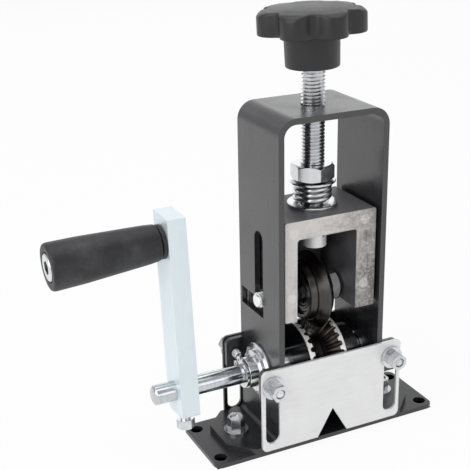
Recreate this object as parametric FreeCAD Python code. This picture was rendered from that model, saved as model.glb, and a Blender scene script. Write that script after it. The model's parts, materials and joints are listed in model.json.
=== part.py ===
"""Hand crank wire stripper: a bent steel frame, a serrated V roller on a crank
shaft, and a cutting wheel on a die-cast slider that a screw with a star knob
presses down. Millimetres, +Z up. X runs along the crank shaft, Y along the wire.
The origin is on the underside of the base plate, at the centre of its four holes.
"""
import FreeCAD
import Part
import math
import os
from FreeCAD import Placement, Rotation, Vector

# Driving dimensions of the base plate
base_length = 130.0
base_depth = 42.5
base_thickness = 2.5
base_corner_radius = 4.0
base_hole_spacing_x = 120.0
base_hole_spacing_y = 30.0
base_hole_radius = 3.25

# Driving dimensions of the bent frame
frame_width = 60.0
frame_depth = 43.0
frame_top = 173.0
sheet = 3.0
top_bend_radius = 9.0
foot_bend_radius = 2.0
foot_reach = 54.2
foot_chamfer = 11.0
foot_bolt_x = 44.0
foot_bolt_height = 8.0
foot_bolt_flange_radius = 6.3
foot_bolt_face = 1.12

# The ears that carry the guide plates
ear_reach = 40.0
ear_bottom = 30.5
ear_top = 48.0
ear_corner_radius = 3.0
stud_x = 34.6
stud_z = 39.5

# Slot in the left leg for the end of the blade axle, and its side window
slot_width = 9.0
slot_top = 113.0
window_bottom = 67.9
window_top = 77.0
window_back = 19.4

# Crank shaft, bushings and rings
shaft_z = 37.6
shaft_radius = 5.0
shaft_left_end = -88.7
shaft_right_end = 42.2
running_gap = 0.05
bushing_flange_radius = 14.0
bushing_flange_thickness = 1.6
bushing_step_radius = 11.0
bushing_step_thickness = 2.2
bushing_sleeve_radius = 8.0
bushing_outer_end = 39.0
bushing_inner_end = 26.0
ring_thickness = 1.2
ring_gap = 0.3

# Feed roller with its V groove and serrated flanks
roller_radius = 21.0
roller_half_width = 10.6
roller_band = 2.9
groove_radius = 12.5
groove_half_width = 1.2
serration_count = 28
serration_radius = 1.4
roller_hub_radius = 9.0
roller_hub_end = 20.0
roller_edge = 0.4
split_gap = 0.01
spacer_radius = 7.6

# Crank arm and grip
arm_left = -77.4
arm_thickness = 9.5
arm_width = 17.5
arm_centre_distance = 76.8
arm_end_margin = 12.2
arm_top_slant = 1.8
arm_lean = 5.5
arm_screw_neck = 4.0
grip_droop = 2.5
grip_outer_end = -133.2
grip_inner_end = -79.9
grip_outer_radius = 11.4
grip_inner_radius = 9.2
collar_radius = 8.5
grip_bolt_radius = 4.0
grip_head_radius = 6.6
grip_head_height = 8.0

# Slider block
slider_half_width = 25.4
slider_half_depth = 19.1
slider_top = 122.0
slider_bottom = 70.0
slider_beam_bottom = 112.6
slider_opening_left = -18.7
slider_opening_right = 14.5
slider_corner_radius = 1.5
slider_wall_front = 16.1
slider_wall_bottom = 59.0
slider_lug_half_width = 26.6
slider_lug_top = 104.0
blade_slot_half = 5.2
blade_slot_top = 89.4

# Blade wheel and its axle
blade_z = 76.3
blade_radius = 20.1
blade_rim_radius = 15.6
blade_half_width = 4.2
blade_edge_half = 0.12
bearing_outer_radius = 11.0
bearing_half_width = 3.5
axle_radius = 4.0
axle_head_left = 8.2
axle_head_height = 5.3
axle_head_flats = 13.0
axle_end = -31.8

# Adjusting screw and what sits on it
screw_radius = 5.9
screw_end = 114.0
neck_radius = 3.2
neck_end = 103.5
boss_radius = 6.0
boss_x = 0.9
boss_y = -1.0
boss_bottom = 101.0
pin_radius = 1.2
pin_z = 107.5
lock_nut_bottom = 135.6
lock_nut_height = 8.0
lock_nut_flats = 19.0
upper_washer_bottom = 133.8
upper_washer_radius = 11.6
lower_washer_radius = 12.5
lower_washer_thickness = 1.7
spring_outer_radius = 9.8
spring_wire = 2.1
spring_turns = 3.0
knob_hub_bottom = 191.0
knob_lobes_bottom = 207.0
knob_lobes_top = 216.2
knob_top = 219.3
knob_radius = 26.2
knob_tilt = 2.0
knob_tilt_azimuth = 240.0
knob_shift = 0.3
knob_lobe_radius = 7.6
knob_lobe_count = 7
knob_turn = 12.9
knob_hub_radius = 13.4
insert_radius = 8.0
insert_top = knob_lobes_bottom + 3.0

# Guide plates
guide_length = 81.0
guide_top = 48.5
guide_thickness = 1.5
front_guide_bottom = 3.5
rear_guide_bottom = 1.3
guide_corner_radius = 3.0
guide_slot_width = 7.8
guide_slot_margin = 4.1
guide_notch_height = 15.0
guide_notch_half_width = 8.7
guide_gap = 0.3

# Small fasteners
stud_radius = 2.5
stud_length = 16.0
guide_nut_height = 7.9
small_flats = 8.0
small_flange_radius = 5.9
small_flange_thickness = 1.3
thread_gap = 0.02

X_AXIS = Vector(1, 0, 0)
Y_AXIS = Vector(0, 1, 0)
Z_AXIS = Vector(0, 0, 1)


def cylinder(radius, start, direction, length):
    """Solid cylinder from a start point along a direction."""
    return Part.makeCylinder(radius, length, start, direction)


def tube(outer, inner, start, direction, length):
    """Hollow cylinder."""
    return cylinder(outer, start, direction, length).cut(cylinder(inner, start, direction, length))


def box(x0, x1, y0, y1, z0, z1):
    """Box between two values on each axis."""
    return Part.makeBox(x1 - x0, y1 - y0, z1 - z0, Vector(x0, y0, z0))


def polygon_face(points):
    """Flat face through a closed list of points."""
    return Part.Face(Part.makePolygon(points + [points[0]]))


def turned_x(profile, y, z):
    """Body turned about a line along X, from (x, radius) pairs."""
    points = [Vector(x, y, z + r) for x, r in profile]
    return polygon_face(points).revolve(Vector(0, y, z), X_AXIS, 360)


def turned_z(profile):
    """Body turned about the screw's axis, from (radius, z) pairs."""
    points = [Vector(r, 0, z) for r, z in profile]
    return polygon_face(points).revolve(Vector(0, 0, 0), Z_AXIS, 360)


def hexagon(flats, start, direction, length, turn=0.0):
    """Hexagonal prism; turn spins it about its own axis, in degrees."""
    corner = flats / math.sqrt(3)
    angles = [math.radians(60 * i + turn) for i in range(6)]
    outline = [Vector(corner * math.cos(a), corner * math.sin(a), 0) for a in angles]
    prism = polygon_face(outline).extrude(Vector(0, 0, length))
    prism.Placement = Placement(start, Rotation(Z_AXIS, direction))
    return prism


def chamfered_hexagon(flats, start, direction, length, turn=0.0, both_ends=False, face=0.96):
    """Hexagonal prism whose far corners are turned off, as on a bolt head or a nut."""
    corner = flats / math.sqrt(3)
    end_radius = flats / 2 * face
    drop = (corner - end_radius) * math.tan(math.radians(30))
    first = (end_radius, 0) if both_ends else (corner + 0.1, 0)
    profile = [(0, 0), first, (corner + 0.1, drop if both_ends else 0.01)]
    profile += [(corner + 0.1, length - drop), (end_radius, length), (0, length)]
    points = [Vector(r, 0, h) for r, h in profile]
    envelope = polygon_face(points).revolve(Vector(0, 0, 0), Z_AXIS, 360)
    envelope.Placement = Placement(start, Rotation(Z_AXIS, direction))
    return hexagon(flats, start, direction, length, turn).common(envelope)


def edges_along(shape, direction, test):
    """Straight edges parallel to a direction whose middle point passes a test."""
    found = []
    for edge in shape.Edges:
        if not isinstance(edge.Curve, Part.Line):
            continue
        run = edge.Vertexes[-1].Point - edge.Vertexes[0].Point
        if run.cross(direction).Length < 1e-6 and test(edge.CenterOfMass):
            found.append(edge)
    return found


def arc_edge(centre, radius, start_angle, middle_angle, end_angle):
    """Arc in the XZ plane through three angles in degrees."""
    def at(angle):
        a = math.radians(angle)
        return centre + Vector(radius * math.cos(a), 0, radius * math.sin(a))
    return Part.Arc(at(start_angle), at(middle_angle), at(end_angle)).toShape()


def joined_face(parts):
    """Face bounded by arcs and points in order, with straight edges between them."""
    edges = []
    last = None
    first = None
    for item in parts:
        if isinstance(item, Vector):
            start, end, edge = item, item, None
        else:
            start, end, edge = item.Vertexes[0].Point, item.Vertexes[-1].Point, item
        if last is not None and (start - last).Length > 1e-6:
            edges.append(Part.makeLine(last, start))
        if edge is not None:
            edges.append(edge)
        if first is None:
            first = start
        last = end
    if (first - last).Length > 1e-6:
        edges.append(Part.makeLine(last, first))
    return Part.Face(Part.Wire(edges))


def base_plate():
    """Flat plate with four mounting holes and the tapped holes of the foot bolts."""
    plate = box(-base_length / 2, base_length / 2, -base_depth / 2, base_depth / 2, 0, base_thickness)
    plate = plate.makeFillet(base_corner_radius, edges_along(plate, Z_AXIS, lambda p: True))
    for sx in (-1, 1):
        for sy in (-1, 1):
            centre = Vector(sx * base_hole_spacing_x / 2, sy * base_hole_spacing_y / 2, 0)
            plate = plate.cut(cylinder(base_hole_radius, centre, Z_AXIS, base_thickness))
        tapped = Vector(sx * foot_bolt_x, 0, 0)
        plate = plate.cut(cylinder(stud_radius + thread_gap, tapped, Z_AXIS, base_thickness))
    return plate


def bent_bar():
    """The frame's bar as bent: two legs, a rounded top and two feet turned outward."""
    half = frame_width / 2
    r_out = top_bend_radius
    r_in = top_bend_radius - sheet
    foot_z = base_thickness
    fold = foot_bend_radius
    fold_z = foot_z + sheet + fold
    y = Vector(0, -frame_depth / 2, 0)
    top_left = y + Vector(-half + r_out, 0, frame_top - r_out)
    top_right = y + Vector(half - r_out, 0, frame_top - r_out)
    fold_left = y + Vector(-half - fold, 0, fold_z)
    fold_right = y + Vector(half + fold, 0, fold_z)
    outline = [
        y + Vector(-foot_reach, 0, foot_z),
        y + Vector(-foot_reach, 0, foot_z + sheet),
        arc_edge(fold_left, fold, -90, -45, 0),
        arc_edge(top_left, r_out, 180, 135, 90),
        arc_edge(top_right, r_out, 90, 45, 0),
        arc_edge(fold_right, fold, 180, 225, 270),
        y + Vector(foot_reach, 0, foot_z + sheet),
        y + Vector(foot_reach, 0, foot_z),
        arc_edge(fold_right, fold + sheet, 270, 225, 180),
        arc_edge(top_right, r_in, 0, 45, 90),
        arc_edge(top_left, r_in, 90, 135, 180),
        arc_edge(fold_left, fold + sheet, 0, -45, -90),
    ]
    return joined_face(outline).extrude(Vector(0, frame_depth, 0))


def foot_corner(sx, sy):
    """Wedge that cuts one corner off a foot."""
    x = sx * foot_reach
    y = sy * frame_depth / 2
    over = 1.0
    points = [
        Vector(x - sx * foot_chamfer, y, 0),
        Vector(x, y - sy * foot_chamfer, 0),
        Vector(x + sx * over, y - sy * (foot_chamfer - over), 0),
        Vector(x + sx * over, y + sy * over, 0),
        Vector(x - sx * (foot_chamfer - over), y + sy * over, 0),
    ]
    return polygon_face(points).extrude(Vector(0, 0, foot_reach / 2))


def ear(sx, sy):
    """Tab bent outward from an edge of a leg, for one guide plate stud."""
    x0 = sx * (frame_width / 2 - sheet)
    x1 = sx * ear_reach
    y0 = sy * frame_depth / 2
    y1 = y0 - sy * sheet
    tab = box(min(x0, x1), max(x0, x1), min(y0, y1), max(y0, y1), ear_bottom, ear_top)
    outer = edges_along(tab, Y_AXIS, lambda p: abs(p.x) > frame_width / 2)
    tab = tab.makeFillet(ear_corner_radius, outer)
    hole = cylinder(stud_radius + thread_gap, Vector(sx * stud_x, y1 - sy, stud_z), Vector(0, sy, 0), sheet + 2)
    return tab.cut(hole)


def axle_slot():
    """Upright slot of the left leg and the window that opens from its lower end."""
    x0 = -frame_width / 2 - 1
    length = sheet + 2
    radius = slot_width / 2
    round_top = cylinder(radius, Vector(x0, 0, slot_top - radius), X_AXIS, length)
    upright = box(x0, x0 + length, -radius, radius, window_bottom, slot_top - radius)
    window = box(x0, x0 + length, -radius, window_back, window_bottom, window_top)
    cutter = round_top.fuse(upright).fuse(window)
    return cutter.removeSplitter()


def frame():
    """Bent frame with ears, bushing holes, axle slot and the tapped hole on top."""
    body = bent_bar()
    for sx in (-1, 1):
        for sy in (-1, 1):
            body = body.cut(foot_corner(sx, sy))
            body = body.fuse(ear(sx, sy))
        bolt = Vector(sx * foot_bolt_x, 0, base_thickness - 1)
        body = body.cut(cylinder(stud_radius + 0.3, bolt, Z_AXIS, sheet + 2))
    body = body.removeSplitter()
    across = Vector(-frame_width, 0, shaft_z)
    body = body.cut(cylinder(bushing_sleeve_radius + thread_gap, across, X_AXIS, 2 * frame_width))
    body = body.cut(axle_slot())
    top_hole = Vector(0, 0, frame_top - 2 * sheet)
    return body.cut(cylinder(screw_radius + 0.1, top_hole, Z_AXIS, 3 * sheet))


def flange_nut(start, direction, turn):
    """Hexagon nut on a round flange."""
    flange = cylinder(small_flange_radius, start, direction, small_flange_thickness)
    nut = flange.fuse(chamfered_hexagon(small_flats, start, direction, guide_nut_height, turn))
    return nut.cut(cylinder(stud_radius + thread_gap, start, direction, guide_nut_height))


def flange_bolt_head(start, turn):
    """Hexagon head on a round flange, with a dish in its top."""
    flange = cylinder(foot_bolt_flange_radius, start, Z_AXIS, small_flange_thickness)
    height = foot_bolt_height
    head = flange.fuse(chamfered_hexagon(small_flats, start, Z_AXIS, height, turn, face=foot_bolt_face))
    dish = cylinder(small_flats * 0.4, start + Z_AXIS * (height - 0.9), Z_AXIS, 1)
    return head.cut(dish)


def foot_bolts():
    """Two flange bolts that hold the feet to the base plate."""
    bolts = []
    seat = base_thickness + sheet
    for sx in (-1, 1):
        head = flange_bolt_head(Vector(sx * foot_bolt_x, 0, seat), 33)
        shank = cylinder(stud_radius, Vector(sx * foot_bolt_x, 0, 0.2), Z_AXIS, seat)
        bolts.append(head.fuse(shank))
    return Part.makeCompound(bolts)


def guide_plate(sy):
    """Slotted plate with the V notch, in front (sy = -1) or behind (sy = 1)."""
    half = guide_length / 2
    inner = sy * (frame_depth / 2 + guide_gap)
    outer = inner + sy * guide_thickness
    y0 = min(inner, outer)
    y1 = max(inner, outer)
    bottom = front_guide_bottom if sy < 0 else rear_guide_bottom
    plate = box(-half, half, y0, y1, bottom, guide_top)
    plate = plate.makeFillet(guide_corner_radius, edges_along(plate, Y_AXIS, lambda p: True))
    notch = [
        Vector(-guide_notch_half_width, y0, bottom),
        Vector(0, y0, bottom + guide_notch_height),
        Vector(guide_notch_half_width, y0, bottom),
    ]
    plate = plate.cut(polygon_face(notch).extrude(Vector(0, guide_thickness, 0)))
    radius = guide_slot_width / 2
    slot_bottom = bottom + guide_slot_margin + radius
    slot_top = stud_z + stud_radius + 0.4 - radius
    for sx in (-1, 1):
        x = sx * stud_x
        cutter = box(x - radius, x + radius, y0, y1, slot_bottom, slot_top)
        for z in (slot_bottom, slot_top):
            cutter = cutter.fuse(cylinder(radius, Vector(x, y0, z), Y_AXIS, guide_thickness))
        plate = plate.cut(cutter)
    return plate


def guide_studs(sy):
    """Two threaded studs screwed into a pair of ears."""
    studs = []
    inner = sy * (frame_depth / 2 - sheet - 3.4)
    for sx in (-1, 1):
        stud = cylinder(stud_radius, Vector(sx * stud_x, inner, stud_z), Vector(0, sy, 0), stud_length)
        ends = [e for e in stud.Edges if isinstance(e.Curve, Part.Circle)]
        studs.append(stud.makeChamfer(0.5, ends))
    return Part.makeCompound(studs)


def guide_nuts(sy):
    """Two flange nuts that clamp a guide plate."""
    nuts = []
    seat = sy * (frame_depth / 2 + 2 * guide_gap + guide_thickness)
    for sx in (-1, 1):
        start = Vector(sx * stud_x, seat, stud_z)
        nuts.append(flange_nut(start, Vector(0, sy, 0), 12 + 9 * sx))
    return Part.makeCompound(nuts)


def bushing(sx):
    """Flanged bushing of one leg: flange, step and sleeve outside, spigot inside."""
    face = frame_width / 2
    step = face + bushing_flange_thickness
    sleeve = step + bushing_step_thickness
    bore = shaft_radius + running_gap
    profile = [
        (bushing_inner_end, bore),
        (bushing_inner_end, bushing_sleeve_radius),
        (face, bushing_sleeve_radius),
        (face, bushing_flange_radius),
        (step - 0.4, bushing_flange_radius),
        (step, bushing_flange_radius - 0.4),
        (step, bushing_step_radius),
        (sleeve - 0.6, bushing_step_radius),
        (sleeve, bushing_step_radius - 0.8),
        (sleeve, bushing_sleeve_radius),
        (bushing_outer_end - 0.4, bushing_sleeve_radius),
        (bushing_outer_end, bushing_sleeve_radius - 0.4),
        (bushing_outer_end, bore),
    ]
    return turned_x([(sx * x, r) for x, r in profile], 0, shaft_z)


def retaining_ring(start, direction, radius, turn):
    """External retaining ring: an eccentric open ring with two lugs and their holes."""
    groove = radius - 0.35
    outer = cylinder(radius + 2.4, Vector(0, 0, 0), Z_AXIS, ring_thickness)
    inner = cylinder(groove + 0.02, Vector(0, 0, 0), Z_AXIS, ring_thickness)
    ring = outer.cut(inner)
    gap = box(0, 2 * radius, -1.1, 1.1, 0, ring_thickness)
    ring = ring.cut(gap)
    for sy in (-1, 1):
        lug_centre = Vector(radius + 1.6, sy * 2.5, 0)
        lug = cylinder(1.9, lug_centre, Z_AXIS, ring_thickness)
        lug = lug.cut(box(0, 2 * radius, min(0, sy * 1.1), max(0, sy * 1.1), 0, ring_thickness))
        lug = lug.cut(cylinder(radius + 0.2, Vector(0, 0, 0), Z_AXIS, ring_thickness))
        ring = ring.fuse(lug)
        ring = ring.cut(cylinder(0.8, lug_centre, Z_AXIS, ring_thickness))
    spin = Rotation(Z_AXIS, turn)
    ring.Placement = Placement(start, Rotation(Z_AXIS, direction).multiply(spin))
    return ring


def shaft_groove(x0):
    """Ring cutter for a retaining ring's groove in the crank shaft."""
    start = Vector(x0 - 0.1, 0, shaft_z)
    return tube(shaft_radius + 1, shaft_radius - 0.35, start, X_AXIS, ring_thickness + 0.2)


def ring_places():
    """Left X of each retaining ring on the crank shaft."""
    left = -bushing_outer_end - ring_gap - ring_thickness
    right = bushing_outer_end + ring_gap
    return left, right


def crank_shaft():
    """Round shaft with chamfered ends and two ring grooves."""
    length = shaft_right_end - shaft_left_end
    shaft = cylinder(shaft_radius, Vector(shaft_left_end, 0, shaft_z), X_AXIS, length)
    ends = [e for e in shaft.Edges if isinstance(e.Curve, Part.Circle)]
    shaft = shaft.makeChamfer(0.9, ends)
    for x0 in ring_places():
        shaft = shaft.cut(shaft_groove(x0))
    return shaft


def serration(side, angle):
    """Round-bottomed cutter that lies along one flank of the V groove."""
    band_x = roller_half_width - roller_band
    bottom = Vector(side * groove_half_width, 0, groove_radius)
    rim = Vector(side * band_x, 0, roller_radius)
    along = rim - bottom
    along.normalize()
    start = bottom + along * 2.0
    cutter = cylinder(serration_radius, start, along, 16.0)
    cutter.rotate(Vector(0, 0, 0), X_AXIS, angle)
    cutter.translate(Vector(0, 0, shaft_z))
    return cutter


def serrated(half, side):
    """Cut the radial serrations into the flank of one half of the roller."""
    step = 360.0 / serration_count
    cutters = [serration(side, step * i) for i in range(serration_count)]
    return half.cut(Part.makeCompound(cutters))


def roller_flank(side):
    """Profile of one half of the roller, from its outer face to the groove's middle."""
    w = roller_half_width
    points = [
        (w, roller_radius - roller_edge),
        (w - roller_edge, roller_radius),
        (w - roller_band, roller_radius),
        (groove_half_width, groove_radius),
        (split_gap, groove_radius),
        (split_gap, shaft_radius + 0.01),
    ]
    return [(side * x, r) for x, r in points]


def feed_roller_left():
    """Left half of the V roller, with a serrated flank."""
    profile = roller_flank(-1) + [(-roller_half_width, shaft_radius + 0.01)]
    return serrated(turned_x(profile, 0, shaft_z), -1)


def feed_roller_right():
    """Right half of the V roller, with a serrated flank and the hub."""
    profile = roller_flank(1) + [
        (roller_hub_end, shaft_radius + 0.01),
        (roller_hub_end, roller_hub_radius - 0.5),
        (roller_hub_end - 0.5, roller_hub_radius),
        (roller_half_width, roller_hub_radius),
    ]
    roller = serrated(turned_x(profile, 0, shaft_z), 1)
    x = (roller_half_width + roller_hub_end) / 2
    hole = cylinder(stud_radius + thread_gap, Vector(x, 0, shaft_z), Y_AXIS.negative(), 2 * roller_hub_radius)
    return roller.cut(hole)


def roller_set_screw():
    """Grub screw that locks the roller's hub to the shaft."""
    x = (roller_half_width + roller_hub_end) / 2
    start = Vector(x, -shaft_radius - 0.02, shaft_z)
    length = roller_hub_radius - shaft_radius - 0.3
    screw = cylinder(stud_radius, start, Y_AXIS.negative(), length)
    socket = hexagon(2.5, start - Vector(0, length, 0), Y_AXIS, 2.0)
    return screw.cut(socket)


def roller_spacer(sx):
    """Sleeve on the shaft between the roller and a bushing."""
    x0 = roller_hub_end + 0.02 if sx > 0 else roller_half_width + 0.02
    length = bushing_inner_end - ring_gap - x0
    return tube(spacer_radius, shaft_radius + 0.01, Vector(sx * x0, 0, shaft_z), Vector(sx, 0, 0), length)


def leaned(shape):
    """Lean a crank piece, made upright, about the shaft."""
    shape.rotate(Vector(0, 0, shaft_z), X_AXIS, -arm_lean)
    return shape


def drooped(shape):
    """Tip a piece on the grip's axis down at its outer end, then lean it."""
    shape.rotate(Vector(arm_left, 0, grip_z()), Y_AXIS, -grip_droop)
    return leaned(shape)


def grip_z():
    """Height of the grip's axis with the arm upright."""
    return shaft_z + arm_centre_distance


def crank_arm():
    """Flat bar with the shaft's bore, the tapped grip hole and a set screw hole."""
    bottom = shaft_z - arm_end_margin
    top = grip_z() + arm_end_margin
    half = arm_width / 2
    side = [
        Vector(arm_left, -half, bottom),
        Vector(arm_left, half - 2.4, bottom),
        Vector(arm_left, half, bottom + 2.4),
        Vector(arm_left, half, top + arm_top_slant),
        Vector(arm_left, -half, top),
    ]
    arm = polygon_face(side).extrude(Vector(arm_thickness, 0, 0))
    arm = arm.makeFillet(0.7, edges_along(arm, X_AXIS, lambda p: True))
    across = Vector(arm_left - 1, 0, shaft_z)
    arm = arm.cut(cylinder(shaft_radius + 0.01, across, X_AXIS, arm_thickness + 2))
    tapped = cylinder(grip_bolt_radius + thread_gap, Vector(arm_left - 5, 0, grip_z()), X_AXIS, arm_thickness + 10)
    tapped.rotate(Vector(arm_left, 0, grip_z()), Y_AXIS, -grip_droop)
    arm = arm.cut(tapped)
    middle = Vector(arm_left + arm_thickness / 2, 0, bottom - 1)
    arm = arm.cut(cylinder(stud_radius + thread_gap, middle, Z_AXIS, arm_end_margin))
    return leaned(arm)


def arm_set_screw():
    """Hexagon-headed screw in the arm's lower end that clamps the shaft."""
    head_top = shaft_z - arm_end_margin - arm_screw_neck
    middle = Vector(arm_left + arm_thickness / 2, 0, head_top)
    length = arm_end_margin + arm_screw_neck - shaft_radius - 0.02
    shank = cylinder(stud_radius, middle, Z_AXIS, length)
    head = chamfered_hexagon(small_flats, middle, Z_AXIS.negative(), 4.8, turn=15)
    return leaned(shank.fuse(head))


def grip():
    """Tapered grip with rounded ends, a through bore and a pocket for the bolt head."""
    bore = grip_bolt_radius + 0.06
    pocket = grip_head_radius + 0.4
    pocket_end = grip_outer_end + grip_head_height + 0.3
    profile = [
        (grip_inner_end, bore),
        (pocket_end, bore),
        (pocket_end, pocket),
        (grip_outer_end, pocket),
        (grip_outer_end, grip_outer_radius - 2.0),
        (grip_outer_end + 0.6, grip_outer_radius - 0.7),
        (grip_outer_end + 2.0, grip_outer_radius),
        (grip_inner_end - 1.2, grip_inner_radius),
        (grip_inner_end, grip_inner_radius - 0.9),
    ]
    return drooped(turned_x(profile, 0, grip_z()))


def grip_bolt():
    """Socket head bolt that the grip turns on, screwed into the arm."""
    start = Vector(grip_outer_end - 0.3, 0, grip_z())
    head = cylinder(grip_head_radius, start, X_AXIS, grip_head_height)
    rim = [e for e in head.Edges if isinstance(e.Curve, Part.Circle) and e.CenterOfMass.x < start.x + 1]
    head = head.makeChamfer(0.5, rim)
    length = arm_left + arm_thickness - 0.8 - start.x
    bolt = head.fuse(cylinder(grip_bolt_radius, start, X_AXIS, length))
    return drooped(bolt.cut(hexagon(6.0, start, X_AXIS, 4.0, turn=8)))


def grip_collar():
    """Black washer between the grip and the arm."""
    start = arm_left - 0.5
    end = grip_inner_end + 0.3
    profile = [
        (start, grip_bolt_radius + 0.02),
        (start, collar_radius),
        (end + 0.4, collar_radius),
        (end, collar_radius - 0.4),
        (end, grip_bolt_radius + 0.02),
    ]
    return drooped(turned_x(profile, 0, grip_z()))


def retaining_pin_cylinder(allowance, length):
    """Cylinder across the boss that meets one side of the screw's neck."""
    middle = Vector(neck_radius, boss_y, pin_z)
    return cylinder(pin_radius + allowance, middle - Vector(0, length / 2, 0), Y_AXIS, length)


def screw_retaining_pin():
    """Pin through the slider's boss that holds the screw's neck by its groove."""
    inside = cylinder(boss_radius - 0.2, Vector(boss_x, boss_y, boss_bottom), Z_AXIS, 2 * boss_radius)
    return retaining_pin_cylinder(0.0, 2 * boss_radius).common(inside)


def slider_lug():
    """Lower part of the slider's rear wall, which reaches out to the legs."""
    half = slider_lug_half_width
    return box(-half, half, slider_wall_front, slider_half_depth, slider_wall_bottom, slider_lug_top)


def slider_block():
    """Die-cast inverted U with a rear wall; carries the blade and hangs on the screw."""
    y0 = -slider_half_depth
    depth = 2 * slider_half_depth
    body = box(-slider_half_width, slider_half_width, y0, y0 + depth, slider_bottom, slider_top)
    left, right = slider_opening_left, slider_opening_right
    opening = box(left, right, y0, slider_wall_front, slider_bottom, slider_beam_bottom)
    roof = edges_along(opening, Y_AXIS, lambda p: p.z > slider_beam_bottom - 1)
    body = body.cut(opening.makeFillet(slider_corner_radius, roof))
    rims = edges_along(body, Y_AXIS, lambda p: abs(p.x) > slider_half_width - 1)
    body = body.makeFillet(1.0, rims).fuse(slider_lug())
    half = blade_slot_half
    blade_slot = box(-half, half, slider_wall_front - 1, y0 + depth + 1, slider_wall_bottom - 1, blade_slot_top)
    body = body.cut(blade_slot)
    boss_start = Vector(boss_x, boss_y, boss_bottom)
    body = body.fuse(cylinder(boss_radius, boss_start, Z_AXIS, slider_beam_bottom + 1 - boss_bottom))
    body = body.cut(cylinder(screw_radius + 0.1, Vector(0, 0, screw_end - 0.3), Z_AXIS, depth))
    body = body.cut(cylinder(neck_radius + 0.1, Vector(0, 0, neck_end - 0.5), Z_AXIS, depth))
    body = body.cut(retaining_pin_cylinder(0.01, 2 * boss_radius + 4))
    axle_bore = cylinder(axle_radius + thread_gap, Vector(-slider_half_width - 1, 0, blade_z), X_AXIS, 9.0)
    return body.cut(axle_bore)


def blade_axle_bolt():
    """Hexagon bolt from inside, through the blade and the left side of the slider."""
    start = Vector(axle_head_left, 0, blade_z)
    head = chamfered_hexagon(axle_head_flats, start, X_AXIS, axle_head_height, turn=20)
    end = Vector(axle_end, 0, blade_z)
    shank = cylinder(axle_radius, end, X_AXIS, axle_head_left - axle_end)
    tip = [e for e in shank.Edges if isinstance(e.Curve, Part.Circle) and e.CenterOfMass.x < axle_end + 1]
    return head.fuse(shank.makeChamfer(0.7, tip))


def axle_lock_nut():
    """Nut that locks the axle against the slider's left side."""
    start = Vector(slider_opening_left + 0.02, 0, blade_z)
    nut = chamfered_hexagon(axle_head_flats, start, X_AXIS, 6.5, turn=35)
    return nut.cut(cylinder(axle_radius + thread_gap, start, X_AXIS, 7))


def blade_spacer(x0, x1):
    """Sleeve on the axle that locates the blade's bearing."""
    return tube(axle_radius + 1.6, axle_radius + 0.03, Vector(x0, 0, blade_z), X_AXIS, x1 - x0)


def blade_wheel():
    """Cutting wheel: a double bevel round a rim, with a pocket for the bearing."""
    w = blade_half_width
    e = blade_edge_half
    seat = bearing_outer_radius + 0.01
    side = bearing_half_width
    profile = [
        (-side, seat),
        (-side, seat + 1.0),
        (-w, seat + 1.6),
        (-w, blade_rim_radius),
        (-e, blade_radius),
        (e, blade_radius),
        (w, blade_rim_radius),
        (w, seat + 1.6),
        (side, seat + 1.0),
        (side, seat),
    ]
    return turned_x(profile, 0, blade_z)


def bearing_ring(inner_radius, outer_radius, race_radius):
    """One ring of the ball bearing, with its ball track."""
    w = bearing_half_width
    ring = tube(outer_radius, inner_radius, Vector(-w, 0, blade_z), X_AXIS, 2 * w)
    track = Part.makeTorus(race_radius, 2.05, Vector(0, 0, blade_z), X_AXIS)
    return ring.cut(track)


def bearing_balls():
    """Seven balls between the two rings."""
    balls = []
    for i in range(7):
        a = 2 * math.pi * i / 7
        centre = Vector(0, 7.5 * math.cos(a), blade_z + 7.5 * math.sin(a))
        balls.append(Part.makeSphere(1.95, centre))
    return Part.makeCompound(balls)


def adjusting_screw():
    """Screw through the frame's top; its neck is held in the slider's boss."""
    top = insert_top - 0.2
    screw = cylinder(screw_radius, Vector(0, 0, screw_end), Z_AXIS, top - screw_end)
    ends = [e for e in screw.Edges if isinstance(e.Curve, Part.Circle)]
    screw = screw.makeChamfer(1.0, ends)
    pin_groove_radius = neck_radius - pin_radius - 0.3
    pin_groove_half = pin_radius + 0.3
    neck = turned_z([
        (0, neck_end),
        (neck_radius, neck_end),
        (neck_radius, pin_z - pin_groove_half),
        (pin_groove_radius, pin_z - pin_groove_half),
        (pin_groove_radius, pin_z + pin_groove_half),
        (neck_radius, pin_z + pin_groove_half),
        (neck_radius, screw_end + 1),
        (0, screw_end + 1),
    ])
    return screw.fuse(neck)


def lock_nut():
    """Nut fixed on the screw above the spring."""
    start = Vector(0, 0, lock_nut_bottom)
    nut = chamfered_hexagon(lock_nut_flats, start, Z_AXIS, lock_nut_height, turn=22, both_ends=True)
    return nut.cut(cylinder(screw_radius + 0.01, start, Z_AXIS, lock_nut_height))


def upper_washer():
    """Washer between the lock nut and the spring."""
    thickness = lock_nut_bottom - ring_gap - upper_washer_bottom
    return tube(upper_washer_radius, screw_radius + 0.1, Vector(0, 0, upper_washer_bottom), Z_AXIS, thickness)


def lower_washer():
    """Broad washer between the spring and the slider."""
    start = Vector(0, 0, slider_top + 0.02)
    return tube(lower_washer_radius, screw_radius + 0.1, start, Z_AXIS, lower_washer_thickness)


def helix_biarcs(radius, z0, z1, turns, steps_per_turn):
    """Smooth chain of arcs along a helix about the screw's axis."""
    count = int(turns * steps_per_turn)
    rise = (z1 - z0) / count
    turn = 2 * math.pi / steps_per_turn

    def at(step):
        a = step * turn
        return Vector(radius * math.cos(a), radius * math.sin(a), z0 + rise * step)
    edges = []
    for i in range(count):
        edges.append(Part.Arc(at(i), at(i + 0.5), at(i + 1)).toShape())
    return Part.Wire(edges)


def least_self_distance(path):
    """Least distance between points of the path that are half a turn or more apart."""
    points = path.discretize(Number=180)
    apart = int(180 / spring_turns / 2)
    distances = []
    for i, first in enumerate(points):
        for second in points[i + apart:]:
            distances.append((first - second).Length)
    return min(distances)


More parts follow.
